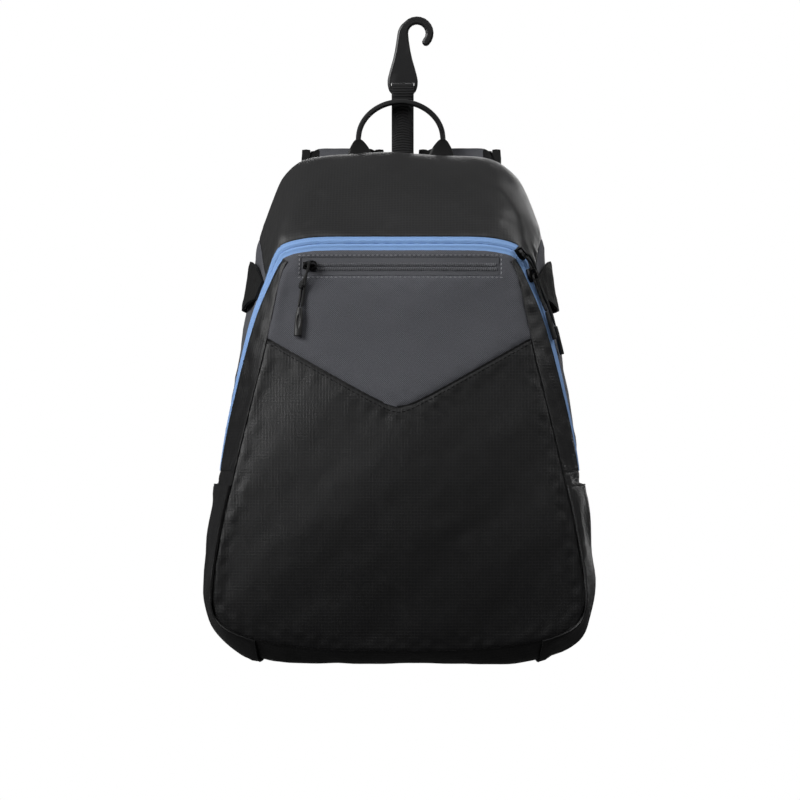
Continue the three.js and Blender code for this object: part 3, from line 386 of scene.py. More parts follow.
class Wiring:
    """A hand for wiring one node tree."""

    def __init__(self, tree: bpy.types.NodeTree) -> None:
        """Starts on a tree."""
        self.tree = tree

    def add(self, kind: str, sockets: dict | None = None, **settings: object) -> bpy.types.Node:
        """Adds a node.

        Args:
            kind: The node's type, without its prefix.
            sockets: Values or links of its inputs, by name or number.
            **settings: The node's own settings.

        Returns:
            The node.
        """
        node = self.tree.nodes.new("ShaderNode" + kind)
        for key, value in settings.items():
            setattr(node, key, value)
        return self.feed(node, sockets or {})

    def feed(self, node: bpy.types.Node, sockets: dict) -> bpy.types.Node:
        """Gives some inputs of a node their values or links."""
        for key, value in sockets.items():
            if isinstance(value, bpy.types.NodeSocket):
                self.tree.links.new(value, node.inputs[key])
            else:
                node.inputs[key].default_value = value
        return node

    def math(self, operation: str, *values: object) -> bpy.types.NodeSocket:
        """Adds a sum of one, two or three values."""
        return self.add("Math", dict(enumerate(values)), operation=operation).outputs[0]

    def mix(self, factor: object, first: object, second: object) -> bpy.types.NodeSocket:
        """Adds a mix of two colours."""
        return self.add("Mix", {0: factor, 6: first, 7: second}, data_type="RGBA").outputs[2]

    def noise(self, vector: object, scale: float, detail: float = 2) -> bpy.types.NodeSocket:
        """Adds a noise of some scale."""
        return self.add("TexNoise", {"Vector": vector, "Scale": scale, "Detail": detail}).outputs[0]


def new_group(name: str, inputs: dict[str, str], outputs: Sequence[str]) -> tuple[Wiring, object, object]:
    """Starts a shared node group.

    Args:
        name: The group's name.
        inputs: The kind of each input, Vector or Float, by its name.
        outputs: The names of its outputs, each a plain number.

    Returns:
        A hand on its tree, the node that gives its inputs and the node that takes its outputs.
    """
    tree = bpy.data.node_groups.new(name, "ShaderNodeTree")
    for label, kind in inputs.items():
        tree.interface.new_socket(label, in_out="INPUT", socket_type="NodeSocket" + kind)
    for label in outputs:
        tree.interface.new_socket(label, in_out="OUTPUT", socket_type="NodeSocketFloat")
    return Wiring(tree), tree.nodes.new("NodeGroupInput"), tree.nodes.new("NodeGroupOutput")


def new_material(name: str) -> tuple[bpy.types.Material, Wiring, bpy.types.Node]:
    """Starts a material, and gives it with a hand on its tree and its shader."""
    made = bpy.data.materials.new(name)
    made.use_nodes = True
    return made, Wiring(made.node_tree), made.node_tree.nodes["Principled BSDF"]


class Weave(Enum):
    """The ways that the bag's cloths are made."""

    RIPSTOP = "ripstop_weave"
    PLAIN = "plain_weave"
    RIBBED = "ribbed_weave"
    TWILL = "twill_weave"
    AIR_MESH = "air_mesh"


def weave_sum(wire: Wiring, weave: Weave, across: object, along: object, pitch: object) -> object:
    """Wires the relief of one weave, from 0 to 1.

    Args:
        wire: The tree to wire in.
        weave: Which weave.
        across: The first coordinate in metres.
        along: The second coordinate in metres.
        pitch: How far its pattern repeats in metres.

    Returns:
        The socket that holds the relief.
    """
    u, v = wire.math("DIVIDE", across, pitch), wire.math("DIVIDE", along, pitch)

    def wave(value: object, turns: float) -> object:
        return wire.math("SINE", wire.math("MULTIPLY", value, turns * 2 * math.pi))

    if weave is Weave.RIPSTOP:
        fine, thick, floor = RIP_LEVELS
        lines = []
        for axis in (u, v):
            away = wire.math("MULTIPLY", wire.math("PINGPONG", axis, 0.5), RIP_SLOPE)
            lines.append(wire.math("SUBTRACT", 1.0, away))
        raised = wire.math("MAXIMUM", wire.math("MAXIMUM", *lines), 0.0)
        threads = wire.math("MULTIPLY", wave(u, RIP_THREADS), wave(v, RIP_THREADS))
        return wire.math("MULTIPLY_ADD", threads, fine, wire.math("MULTIPLY_ADD", raised, thick, floor))
    if weave is Weave.PLAIN:
        return wire.math("MULTIPLY_ADD", wire.math("MULTIPLY", wave(u, 0.5), wave(v, 0.5)), 0.5, 0.5)
    if weave is Weave.RIBBED:
        return wire.math("ABSOLUTE", wave(v, 0.5))
    if weave is Weave.TWILL:
        slanted = wave(wire.math("ADD", u, v), 1)
        return wire.math("MULTIPLY_ADD", slanted, 0.5, 0.5)
    both = wire.math("MULTIPLY", wave(u, 1), wave(wire.math("ADD", v, wire.math("MULTIPLY", u, 0.5)), 1))
    return wire.math("GREATER_THAN", both, MESH_HOLE)


def weave_group(weave: Weave) -> bpy.types.NodeTree:
    """The shared group of one weave, with its map and pitch in and its relief out, built once."""
    found = bpy.data.node_groups.get(weave.value)
    if found:
        return found
    wire, into, out = new_group(weave.value, {"Vector": "Vector", "Pitch": "Float"}, ["Relief"])
    parts = wire.add("SeparateXYZ", {0: into.outputs[0]})
    wire.feed(out, {0: weave_sum(wire, weave, parts.outputs[0], parts.outputs[1], into.outputs[1])})
    return wire.tree


def age_group() -> bpy.types.NodeTree:
    """The shared group of handling: slow changes of shade, specks of lint and scuffs, built once."""
    found = bpy.data.node_groups.get("cloth_age")
    if found:
        return found
    wire, into, out = new_group("cloth_age", {"Amount": "Float"}, ["Shade", "Scuff"])
    place = wire.add("TexCoord").outputs["Object"]
    slow, fine = wire.noise(place, SLOW_SHADES), wire.noise(place, LINT)
    both = wire.math("ADD", wire.math("SUBTRACT", slow, 0.5), wire.math("SUBTRACT", fine, 0.5))
    shade_sum = wire.math("MULTIPLY_ADD", both, into.outputs[0], 1.0)
    scuffed = wire.math("SUBTRACT", wire.noise(place, SCUFFS, 5), SCUFF_START)
    scuff = wire.math("MULTIPLY", scuffed, SCUFF_SLOPE)
    wire.feed(out, {0: shade_sum, 1: wire.add("Clamp", {0: scuff}).outputs[0]})
    return wire.tree


@dataclass(frozen=True)
class Finish:
    """What a piece is made of: a name and a main colour."""

    name: str
    base: Colour

    def material(self) -> bpy.types.Material:
        """The finish as a material, built once."""
        return bpy.data.materials.get(self.name) or self.make()

    def make(self) -> bpy.types.Material:
        """Builds the material, as each kind of finish does in its own way."""
        raise NotImplementedError


@dataclass(frozen=True)
class ClothFinish(Finish):
    """A woven finish: the colour on its threads, its weave and how it shines."""

    thread: Colour
    weave: Weave
    pitch: float
    depth: float
    roughness: float
    sheen: float
    age: float = 0.25
    melange: float = 0.0
    gloss: float = 0.5

    def make(self) -> bpy.types.Material:
        """Wires the finish's material."""
        made, wire, shader = new_material(self.name)
        cloth_map = wire.add("UVMap").outputs[0]
        relief = wire.add("Group", node_tree=weave_group(self.weave))
        wire.feed(relief, {0: cloth_map, 1: self.pitch * MM})
        worn = wire.add("Group", {"Amount": self.age}, node_tree=age_group())
        colour = wire.mix(relief.outputs[0], (*self.base, 1), (*self.thread, 1))
        level = worn.outputs[0]
        if self.melange:
            specks = wire.math("SUBTRACT", wire.noise(cloth_map, 1 / (self.pitch * MM), 3), 0.5)
            level = wire.math("MULTIPLY_ADD", specks, 2 * self.melange, level)
        shaded = wire.add("VectorMath", {0: colour, 1: level}, operation="MULTIPLY").outputs[0]
        rough = wire.math("MULTIPLY_ADD", worn.outputs[1], CLOTH_SCUFF, self.roughness)
        bump = wire.add("Bump", {"Height": relief.outputs[0], "Distance": self.depth * MM, "Strength": 1.0})
        wire.feed(shader, {"Base Color": shaded, "Roughness": rough, "Normal": bump.outputs[0],
                           "Sheen Weight": self.sheen, "Sheen Roughness": SHEEN_ROUGHNESS,
                           "Specular IOR Level": self.gloss})
        return made


@dataclass(frozen=True)
class HardFinish(Finish):
    """A moulded or metal finish, with its grain and scuffs."""

    scuffed: Colour
    roughness: float
    grain: float
    metallic: float = 0.0

    def make(self) -> bpy.types.Material:
        """Wires the finish's material."""
        made, wire, shader = new_material(self.name)
        place = wire.add("TexCoord").outputs["Object"]
        worn = wire.add("Group", {"Amount": HARD_AGE}, node_tree=age_group())
        colour = wire.mix(worn.outputs[1], (*self.base, 1), (*self.scuffed, 1))
        rough = wire.math("MULTIPLY_ADD", worn.outputs[1], HARD_SCUFF, self.roughness)
        bump = wire.add("Bump", {"Height": wire.noise(place, GRAINS), "Distance": self.grain * MM})
        wire.feed(shader, {"Base Color": colour, "Roughness": rough, "Normal": bump.outputs[0],
                           "Metallic": self.metallic})
        return made


RIPSTOP = ClothFinish("black_ripstop", linear(15, 15, 16), linear(30, 30, 31), Weave.RIPSTOP, 2.7, 0.12,
                      0.44, 0.03, gloss=0.4)
# The hood is the same black ripstop as the face. Its lighter base and thread colours are painted light: a
# lit copy that stands in for the light falling on its upward-facing top.
HOOD_CLOTH_PAINTED_LIT = ClothFinish("hood_ripstop_painted_lit", linear(41, 41, 41), linear(55, 55, 56), Weave.RIPSTOP, 2.7,
                         0.05, 0.4, 0.03, gloss=0.45)
GREY_CLOTH = ClothFinish("grey_oxford", linear(67, 68, 72), linear(105, 106, 112), Weave.PLAIN, 0.9, 0.12,
                         0.85, 0.08, melange=0.5, gloss=0.2)
STRAP_CLOTH = ClothFinish("grey_strap_oxford", linear(76, 77, 81), linear(112, 113, 118), Weave.PLAIN, 0.9,
                          0.12, 0.85, 0.1, melange=0.5, gloss=0.25)
WEBBING = ClothFinish("black_webbing", linear(10, 10, 10), linear(36, 36, 37), Weave.RIBBED, 2.4, 0.45,
                      0.7, 0.05, gloss=0.35)
BINDING = ClothFinish("black_binding", linear(11, 11, 11), linear(27, 27, 27), Weave.TWILL, 1.2, 0.15,
                      0.75, 0.03, gloss=0.25)
AIR_MESH = ClothFinish("black_air_mesh", linear(8, 8, 8), linear(36, 36, 37), Weave.AIR_MESH, 3.2, 0.6,
                       0.85, 0.06, gloss=0.2)
BLUE_TAPE = ClothFinish("blue_zip_tape", linear(125, 164, 220), linear(150, 188, 240), Weave.TWILL, 1.0, 0.1,
                        0.7, 0.2, age=0.12, gloss=0.3)
GREY_TAPE = ClothFinish("grey_zip_tape", linear(74, 75, 79), linear(104, 105, 110), Weave.TWILL, 1.0, 0.1,
                       0.8, 0.1, gloss=0.3)
PALE_THREAD = ClothFinish("pale_grey_thread", linear(110, 111, 116), linear(168, 169, 174), Weave.TWILL, 0.5,
                          0.05, 0.6, 0.2, age=0.1)
DARK_THREAD = ClothFinish("black_thread", linear(3, 3, 3), linear(10, 10, 10), Weave.TWILL, 0.5, 0.05,
                          0.7, 0.0, age=0.1, gloss=0.2)
PULL_CORD = ClothFinish("black_pull_cord", linear(6, 6, 6), linear(26, 26, 27), Weave.TWILL, 1.3, 0.25,
                        0.6, 0.03, age=0.1)
PLASTIC = HardFinish("black_acetal", linear(30, 30, 31), linear(44, 44, 45), 0.36, 0.01)
BLACK_METAL = HardFinish("black_plated_metal", linear(30, 30, 31), linear(90, 90, 92), 0.28, 0.004, 0.9)
RUBBER = HardFinish("black_rubber", linear(20, 20, 20), linear(34, 34, 35), 0.5, 0.02)
GREY_COIL = HardFinish("grey_nylon_coil", linear(108, 109, 113), linear(130, 131, 136), 0.4, 0.01)


# Cloth

# Millimetres from a seam: where ripples are at their full height, where puckers are, and where puckers and
# folds begin.
CALM_EDGE = 14
PUCKER_PLACE = 7
SEAM_EASE, FOLD_EASE = 3, 6
FOLD_START, FOLD_POWER = 0.08, 0.7
# How many waves a swell has, how their lengths spread, and what brings their sum to about 1.
WAVES, WAVE_SPREAD, WAVE_SUM = 7, (0.75, 1.35), 2.6
SEAM_BEND = 55
BLUNT = 0.6


@dataclass(frozen=True)
class Cut:
    """The size that a panel is cut to, in metres: the rectangle that it comes from, and its area."""

    width: float
    length: float
    area: float

    @classmethod
    def of(cls, plain: bpy.types.Object) -> Cut:
        """Takes the cut from a plain panel, before it is smoothed and before its cloth gives.

        Args:
            plain: A copy of the panel's node.

        Returns:
            The cut. A panel that bends more than its box holds comes from a larger rectangle.
        """
        width, length = sorted(np.ptp(points_of(plain) * MM, axis=0))[1:]
        area = sum(polygon.area for polygon in plain.data.polygons) / 2
        grow = math.sqrt(max(1.0, area / (width * length)))
        return cls(width * grow, length * grow, area)

    def declare(self, piece: bpy.types.Object) -> None:
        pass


def side_faces(piece: bpy.types.Object, side: int, narrowest: float = 2.6) -> Array:
    """Finds the faces of one side of a panel.

    Args:
        piece: A closed panel.
        side: Plus one for its outer side, minus one for its inner.
        narrowest: Faces narrower than this many millimetres are its rim.

    Returns:
        True for each face of that side.
    """
    polygons = piece.data.polygons
    centres = in_bag([p.center for p in polygons])
    normals = np.array([p.normal for p in polygons])
    points = points_of(piece)
    chosen = outward_sign(centres, normals) == side
    for number, polygon in enumerate(polygons):
        ring = points[list(polygon.vertices)]
        longest = np.linalg.norm(ring - np.roll(ring, 1, axis=0), axis=1).max()
        chosen[number] &= polygon.area / MM**2 / longest > narrowest
    return chosen


def dress(piece: bpy.types.Object, finish: Finish, nodes: Sequence[str] | str,
          angle: float = 40) -> bpy.types.Object:
    """Gives a piece its finish and its place in the part.

    Args:
        piece: The piece, whose mesh is final.
        finish: What it is made of.
        nodes: The nodes of the frame that it stands for, or none.
        angle: Edges that bend more than this many degrees stay sharp.

    Returns:
        The piece.
    """
    piece.data.materials.clear()
    piece.data.materials.append(finish.material())
    shade(piece, angle)
    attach(piece, BODY)
    names = [nodes] if isinstance(nodes, str) else list(nodes)
    if names:
        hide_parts(*names)
    LOG.info("%s: %d faces", piece.name, len(piece.data.polygons))
    return piece


@dataclass(frozen=True)
class Fold:
    """A ridge or groove of the cloth, from one point to another in bag millimetres."""

    start: Place
    end: Place
    width: float
    rise: float


@dataclass(frozen=True)
class Drape:
    """How a sewn panel gives: its edges roll in, it ripples, puckers beside its seams and folds."""

    roll_width: float = 4.0
    roll_depth: float = 1.1
    wave: float = 0.9
    wave_length: float = 75.0
    ripple: float = 0.25
    ripple_length: float = 22.0
    pucker: float = 0.35
    pucker_length: float = 13.0
    seed: int = 1
    folds: tuple[Fold, ...] = ()

    def rise(self, points: Array, edge: Array) -> Array:
        """How far each point lies off the plain panel.

        Args:
            points: Places in bag millimetres.
            edge: Their distances from the panel's seams.

        Returns:
            The rise outwards in millimetres.
        """
        inside = ease(edge / CALM_EDGE)
        rolled = -self.roll_depth * np.clip(1 - edge / self.roll_width, 0, 1) ** 2
        slow = self.wave * self.swell(points, self.wave_length, self.seed)
        quick = self.ripple * self.swell(points, self.ripple_length, self.seed + 40)
        beside = np.exp(-(((edge - PUCKER_PLACE) / PUCKER_PLACE) ** 2)) * ease(edge / SEAM_EASE)
        pucker = self.pucker * beside * self.swell(points, self.pucker_length, self.seed + 80)
        total = rolled + (slow + quick) * inside + pucker
        for fold in self.folds:
            total += self.fold_rise(points, fold) * ease(edge / FOLD_EASE)
        return total

    @staticmethod
    def swell(points: Array, length: float, seed: int) -> Array:
        """A gentle random relief between about -1 and 1, of waves of some length."""
        chance = np.random.default_rng(seed)
        total = np.zeros(len(points))
        for _ in range(WAVES):
            way = chance.normal(size=3)
            way *= 2 * math.pi / (length * chance.uniform(*WAVE_SPREAD)) / np.linalg.norm(way)
            total += np.sin(points @ way + chance.uniform(0, 2 * math.pi))
        return total / WAVE_SUM

    @staticmethod
    def fold_rise(points: Array, fold: Fold) -> Array:
        """The relief of one fold, which fades towards both its ends."""
        start, end = np.array(fold.start), np.array(fold.end)
        way = end - start
        share = np.clip(((points - start) @ way) / (way @ way), 0, 1)
        away = np.linalg.norm(points - (start + share[:, None] * way), axis=1)
        fade = np.sin(np.pi * (FOLD_START + (1 - 2 * FOLD_START) * share)) ** FOLD_POWER
        return fold.rise * np.exp(-((away / fold.width) ** 2)) * fade


@dataclass(frozen=True)
class Panel:
    """One sewn piece of cloth that stands for a node of the frame."""

    node: str
    finish: ClothFinish
    slot: str
    drape: Drape = field(default_factory=Drape)
    levels: int = 2
    inset: float = 2.0
    long_way: bool = False
    sewn: bool = True
    flat: tuple[Place, Place] | None = None

    def build(self) -> bpy.types.Object:
        """Copies, smooths, drapes and dresses the panel.

        Returns:
            The finished piece.
        """
        piece = copy_of(self.node, f"{self.node}_cloth")
        cut = Cut.of(piece)
        rim = crease_sharp(piece, SEAM_BEND)
        if self.inset:
            self.inset_rim(piece)
        lay_out(piece, self.long_way)
        subdivide(piece, self.levels)
        self.shape(piece, rim)
        if self.flat:
            lay_flat(piece, *self.flat)
        dress(piece, self.finish, self.node)
        if self.sewn:
            cut.declare(piece)
        return piece

    def inset_rim(self, piece: bpy.types.Object) -> None:
        """Adds a narrow row of faces along the panel's rim, on both sides."""
        for side in (1, -1):
            chosen = side_faces(piece, side)
            with editing(piece):
                choose("FACE")
            piece.data.polygons.foreach_set("select", chosen)
            with editing(piece):
                bpy.ops.mesh.inset(thickness=self.inset * MM, depth=0, use_boundary=True)

    def shape(self, piece: bpy.types.Object, rim: Array) -> None:
        """Moves the panel's points as its cloth gives."""
        points, normals = points_of(piece), normals_of(piece)
        sign = outward_sign(points, normals)
        rise = self.drape.rise(points, distance_to(points, rim))
        put_points(piece, points + normals * (rise * sign)[:, None])


class Skin:
    """The finished cloth of some pieces, for laying details on it."""

    def __init__(self, pieces: Sequence[bpy.types.Object]) -> None:
        """Reads the pieces' meshes."""
        points, faces, start = [], [], 0
        for piece in pieces:
            found = points_of(piece)
            points.extend(tuple(p) for p in found)
            faces.extend([start + v for v in polygon.vertices] for polygon in piece.data.polygons)
            start += len(found)
        self.tree = BVHTree.FromPolygons(points, faces)

    def ahead(self, x: float, z: float, lift: float = 0.0) -> tuple[Array, Array]:
        """The cloth's place and normal at some x and z, as seen from the front."""
        place, normal, _, _ = self.tree.ray_cast(Vector((x, AHEAD_Y, z)), Vector((0, 1, 0)))
        if place is None:
            place, normal, _, _ = self.tree.find_nearest(Vector((x, FACE_Y, z)))
        out = np.array(normal)
        out = out if out[1] < 0 else -out
        return np.array(place) + out * lift, out


def resample(route: Array, pitch: float) -> Array:
    """Points along a route at an even pitch near the given one."""
    steps = np.linalg.norm(np.diff(route, axis=0), axis=1)
    along = np.concatenate([[0], np.cumsum(steps)])
    count = max(2, round(along[-1] / pitch) + 1)
    wanted = np.linspace(0, along[-1], count)
    return np.stack([np.interp(wanted, along, route[:, axis]) for axis in range(3)], axis=1)


def bead(length: float, width: float, height: float) -> tuple[Array, list[list[int]]]:
    """Models one small rounded bar, long in x, at the origin.

    Args:
        length: Its length in millimetres.
        width: Its width.
        height: Its height.

    Returns:
        Its vertices in millimetres and its faces.
    """
    bpy.ops.object.select_all(action="DESELECT")
    bpy.ops.mesh.primitive_uv_sphere_add(segments=6, ring_count=4, radius=1)
    made = bpy.context.active_object
    with editing(made):
        bpy.ops.mesh.select_all(action="SELECT")
        bpy.ops.transform.rotate(value=math.pi / 2, orient_axis="Y", center_override=(0, 0, 0))
    mesh = made.data
    found = read_rows(mesh.vertices, "co", 3)
    found[:, 0] = np.sign(found[:, 0]) * np.abs(found[:, 0]) ** BLUNT
    faces = [list(polygon.vertices) for polygon in mesh.polygons]
    bpy.data.objects.remove(made)
    bpy.data.meshes.remove(mesh)
    return found * np.array((length, width, height)) / 2, faces


def row_of(name: str, shape: tuple[Array, list[list[int]]], places: Array, ways: Array,
           outs: Array) -> bpy.types.Object:
    """Lays copies of one small shape along a route.

    Args:
        name: The piece's name.
        shape: The shape's vertices and faces, long in x and high in z.
        places: Where each copy lies in bag millimetres.
        ways: Where each copy's x points.
        outs: Where each copy's z points, about.

    Returns:
        One object that holds every copy.
    """
    corners, faces = shape
    points, all_faces = [], []
    for number, (place, way, out) in enumerate(zip(places, ways, outs)):
        x = way / np.linalg.norm(way)
        z = out - x * (out @ x)
        z /= np.linalg.norm(z)
        turn = np.stack([x, np.cross(z, x), z])
        points.append(corners @ turn + place)
        all_faces.extend([v + number * len(corners) for v in face] for face in faces)
    return new_piece(name, np.concatenate(points), all_faces)


@dataclass(frozen=True)
class Seam:
    """A row of stitches along a route on the cloth."""

    name: str
    route: Array
    thread: ClothFinish
    pitch: float = 4.1
    share: float = 0.72
    width: float = 0.75

    height_share: float = 0.8
    lift: float = 0.1

    def sew(self, skin: Skin) -> None:
        """Lays the stitches on the cloth, as the route is seen from the front."""
        laid = [skin.ahead(x, z, self.lift) for x, _, z in resample(self.route, self.pitch)]
        places, outs = np.array([p for p, _ in laid]), np.array([o for _, o in laid])
        shape = bead(self.pitch * self.share, self.width, self.width * self.height_share)
        piece = row_of(self.name, shape, places, np.gradient(places, axis=0), outs)
        lay_out(piece)
        dress(piece, self.thread, ())


# The front face

WALL_PIERCE = 20
# The middle height, the half spans and the powers of x and z in the fit of the chevron's depth.
DEPTH_MIDDLE, DEPTH_SPAN = 310, (120, 60)
DEPTH_POWERS = ((0, 1, 2, 4, 6), range(5))


def face_folds(*rows: tuple[float, float, float, float, float, float]) -> tuple[Fold, ...]:
    """Folds of the face: the x and z of each one's start and end, its width and its rise."""
    return tuple(Fold((x, FACE_Y, z), (to_x, FACE_Y, to_z), width, rise)
                 for x, z, to_x, to_z, width, rise in rows)


@dataclass
class FrontFace:
    """The front of the bag: the grey chevron with its pocket zip, the ripstop below and the gussets."""

    chevron_x: float = 117.0
    pocket_shift: float = 1.0
    pocket_length: float = 171.0
    pocket_height: float = 16.0
    pocket_middle: float = 341.3
    cell: float = 2.2
    wall: float = 1.8
    tip_round: float = 9.0
    stitch_inset: float = 1.7
    stitch_drop: float = 2.9
    stitch_spots: int = 61
    stitch_reach: float = 9.0
    teeth_margin: float = 3.0
    tooth_pitch: float = 1.55
    tooth_rows: tuple[tuple[int, float], ...] = ((1, 0.0), (-1, 0.78))
    row_gap: float = 1.9
    teeth_drop: float = 0.7
    tooth_lift: float = 0.55
    tooth_slant: float = 0.25

    def build(self) -> None:
        """Builds the face and sews it."""
        folds = face_folds(
            (-104, 196, -52, 204, 9, 1.2),
            (-118, 172, -60, 180, 8, 1.1),
            (-128, 226, -84, 236, 8, 1.2),
            (-138, 140, -86, 152, 9, 1.1),
            (-146, 108, -100, 120, 9, 1.0),
            (136, 215, 104, 190, 9, 0.8),
            (146, 150, 112, 132, 9, 0.8),
            (150, 96, 120, 74, 8, 0.9),
            (-60, 40, 20, 34, 9, 0.8),
        )
        drape = Drape(wave=0.7, ripple=0.1, seed=3, folds=folds)
        cloth = [Panel("face_lower", RIPSTOP, "ripstop", drape, levels=3, flat=FRONT_MAP).build(),
                 self.chevron_panel()]
        for side, seed in (("left", 5), ("right", 9)):
            drape = Drape(roll_width=2.5, roll_depth=0.6, wave=0.7, wave_length=50, pucker=0.6,
                          pucker_length=17, seed=seed)
            gusset = Panel(f"front_gusset_{side}", RIPSTOP, "ripstop", drape, levels=3, inset=0.8)
            cloth.append(gusset.build())
        skin = Skin(cloth)
        self.sew_chevron(skin)
        self.pocket_zip(skin)

    def window(self, margin: float = 0.0) -> tuple[float, float, float, float]:
        """The left, right, foot and top of the pocket's window, grown by a margin all round."""
        long, high = self.pocket_length / 2 + margin, self.pocket_height / 2 + margin
        return (self.pocket_shift - long, self.pocket_shift + long,
                self.pocket_middle - high, self.pocket_middle + high)

    def chevron_panel(self) -> bpy.types.Object:
        """Rebuilds the grey panel on a fine grid, so that its window has clean turned edges.

        Returns:
            The finished panel.
        """
        node = "face_upper"
        plain = copy_of(node, "outline")
        cut = Cut.of(plain)
        depth = self.fit_depth(plain)
        outline = self.outer_outline(plain)
        bpy.data.objects.remove(plain)
        piece = self.grid_slab(f"{node}_cloth", outline.min(0) - 3, outline.max(0) + 3)
        left, right, foot, top = self.window()
        self.cut(piece, outline, "INTERSECT")
        self.cut(piece, np.array(((left, foot), (right, foot), (right, top), (left, top))), "DIFFERENCE")
        placed = points_of(piece)
        behind = placed[:, 1] > FACE_Y + 2
        window = [(a, FACE_Y, b) for a in np.linspace(left, right, 90) for b in (foot, top)]
        window += [(a, FACE_Y, b) for b in np.linspace(foot, top, 9) for a in (left, right)]
        rim = resample(np.insert(outline, 1, FACE_Y, axis=1), 2)
        edges = np.concatenate([rim, np.array(window)])
        flatter = placed.copy()
        flatter[:, 1] = FACE_Y
        folds = face_folds(
            (98, 350, 122, 300, 6, -0.9),
            (102, 322, 112, 296, 4, 0.8),
            (-118, 312, -96, 330, 6, 0.6),
        )
        drape = Drape(roll_width=3.6, roll_depth=1.5, wave=0.6, ripple=0.15, pucker=0.25, seed=7,
                      folds=folds)
        rise = drape.rise(flatter, distance_to(flatter, edges))
        placed[:, 1] = depth(placed[:, 0], placed[:, 2]) - rise + np.where(behind, self.wall, 0)
        put_points(piece, placed)
        lay_out(piece)
        lay_flat(piece, *FRONT_MAP)
        dress(piece, GREY_CLOTH, node)
        cut.declare(piece)
        return piece

    def grid_slab(self, name: str, low: Array, high: Array) -> bpy.types.Object:
        """Models a slab of fine squares in the plane of the face.

        Args:
            name: The piece's name.
            low: Its least x and z in bag millimetres.
            high: Its greatest x and z.

        Returns:
            The slab, 4 mm thick towards the back.
        """
        spread = high - low
        across, up = (int(side / self.cell) for side in spread)
        bpy.ops.object.select_all(action="DESELECT")
        bpy.ops.mesh.primitive_grid_add(x_subdivisions=across, y_subdivisions=up, size=1)
        piece = bpy.context.active_object
        piece.name = piece.data.name = name
        flat = low + (read_rows(piece.data.vertices, "co", 3)[:, :2] + 0.5) * spread
        put_points(piece, np.insert(flat, 1, FACE_Y, axis=1))
        with editing(piece):
            bpy.ops.mesh.select_all(action="SELECT")
            bpy.ops.mesh.extrude_region_move(TRANSFORM_OT_translate={"value": (0, 4 * MM, 0)})
            face_outwards()
        return piece

    @staticmethod
    def cut(piece: bpy.types.Object, outline: Array, operation: str) -> None:
        """Cuts a piece with a prism that stands through the face.

        Args:
            piece: The piece to cut.
            outline: The prism's outline as x and z, in order round it.
            operation: INTERSECT keeps what lies inside the prism, DIFFERENCE what lies outside.
        """
        count = len(outline)
        planes = (FACE_Y - WALL_PIERCE, FACE_Y + WALL_PIERCE)
        corners = np.concatenate([np.insert(outline, 1, y, axis=1) for y in planes])
        faces = [list(range(count))[::-1], list(range(count, 2 * count))]
        faces += [[i, (i + 1) % count, (i + 1) % count + count, i + count] for i in range(count)]
        cutter = new_piece("cutter", corners, faces)
        with editing(cutter):
            face_outwards()
        modify(piece, "BOOLEAN", object=cutter, operation=operation, solver="EXACT")
        bpy.data.objects.remove(cutter)

    @staticmethod
    def front_faces(plain: bpy.types.Object) -> list[bpy.types.MeshPolygon]:
        """The faces of the plain panel that look to the front."""
        outer = side_faces(plain, 1, 0.2)
        return [p for p, chosen in zip(plain.data.polygons, outer) if chosen and p.normal[1] < -0.5]

    def fit_depth(self, plain: bpy.types.Object) -> Callable[[Array, Array], Array]:
        """Fits a smooth depth over x and z to the plain panel's outer side."""
        spots = points_of(plain)[sorted({v for p in self.front_faces(plain) for v in p.vertices})]

        def terms(x: Array, z: Array) -> Array:
            a, b = x / DEPTH_SPAN[0], (z - DEPTH_MIDDLE) / DEPTH_SPAN[1]
            return np.stack([a**i * b**j for i in DEPTH_POWERS[0] for j in DEPTH_POWERS[1]], axis=1)

        weights = np.linalg.lstsq(terms(spots[:, 0], spots[:, 2]), spots[:, 1], rcond=None)[0]
        return lambda x, z: terms(x, z) @ weights

    def outer_outline(self, plain: bpy.types.Object) -> Array:
        """The plain panel's outline as x and z, in order round it."""
        edges: dict[tuple[int, int], int] = {}
        for polygon in self.front_faces(plain):
            for key in polygon.edge_keys:
                edges[key] = edges.get(key, 0) + 1
        follow: dict[int, list[int]] = {}
        for (a, b), uses in edges.items():
            if uses == 1:
                follow.setdefault(a, []).append(b)
                follow.setdefault(b, []).append(a)
        points = points_of(plain)
        start = min(follow, key=lambda v: points[v][2])
        loop, before, here = [start], None, start
        while True:
            ahead = [v for v in follow[here] if v != before]
            before, here = here, ahead[0]
            if here == start:
                break
            loop.append(here)
        return points[loop][:, [0, 2]]

    def sew_chevron(self, skin: Skin) -> None:
        """Sews the dark stitches under the chevron's edge."""
        found = points_of(bpy.data.objects["face_upper"])
        spots = []
        for x in np.linspace(-self.chevron_x, self.chevron_x, self.stitch_spots):
            near = found[np.abs(found[:, 0] - x) < self.stitch_reach]
            spots.append((x, FACE_Y, near[:, 2].min()))
        lowest = np.array(spots)
        terms = np.stack([np.ones(len(lowest)), np.hypot(lowest[:, 0], self.tip_round)], axis=1)
        lowest[:, 2] = terms @ np.linalg.lstsq(terms, lowest[:, 2], rcond=None)[0] - self.stitch_drop
        Seam("chevron_stitches", lowest, DARK_THREAD, pitch=4.3).sew(skin)

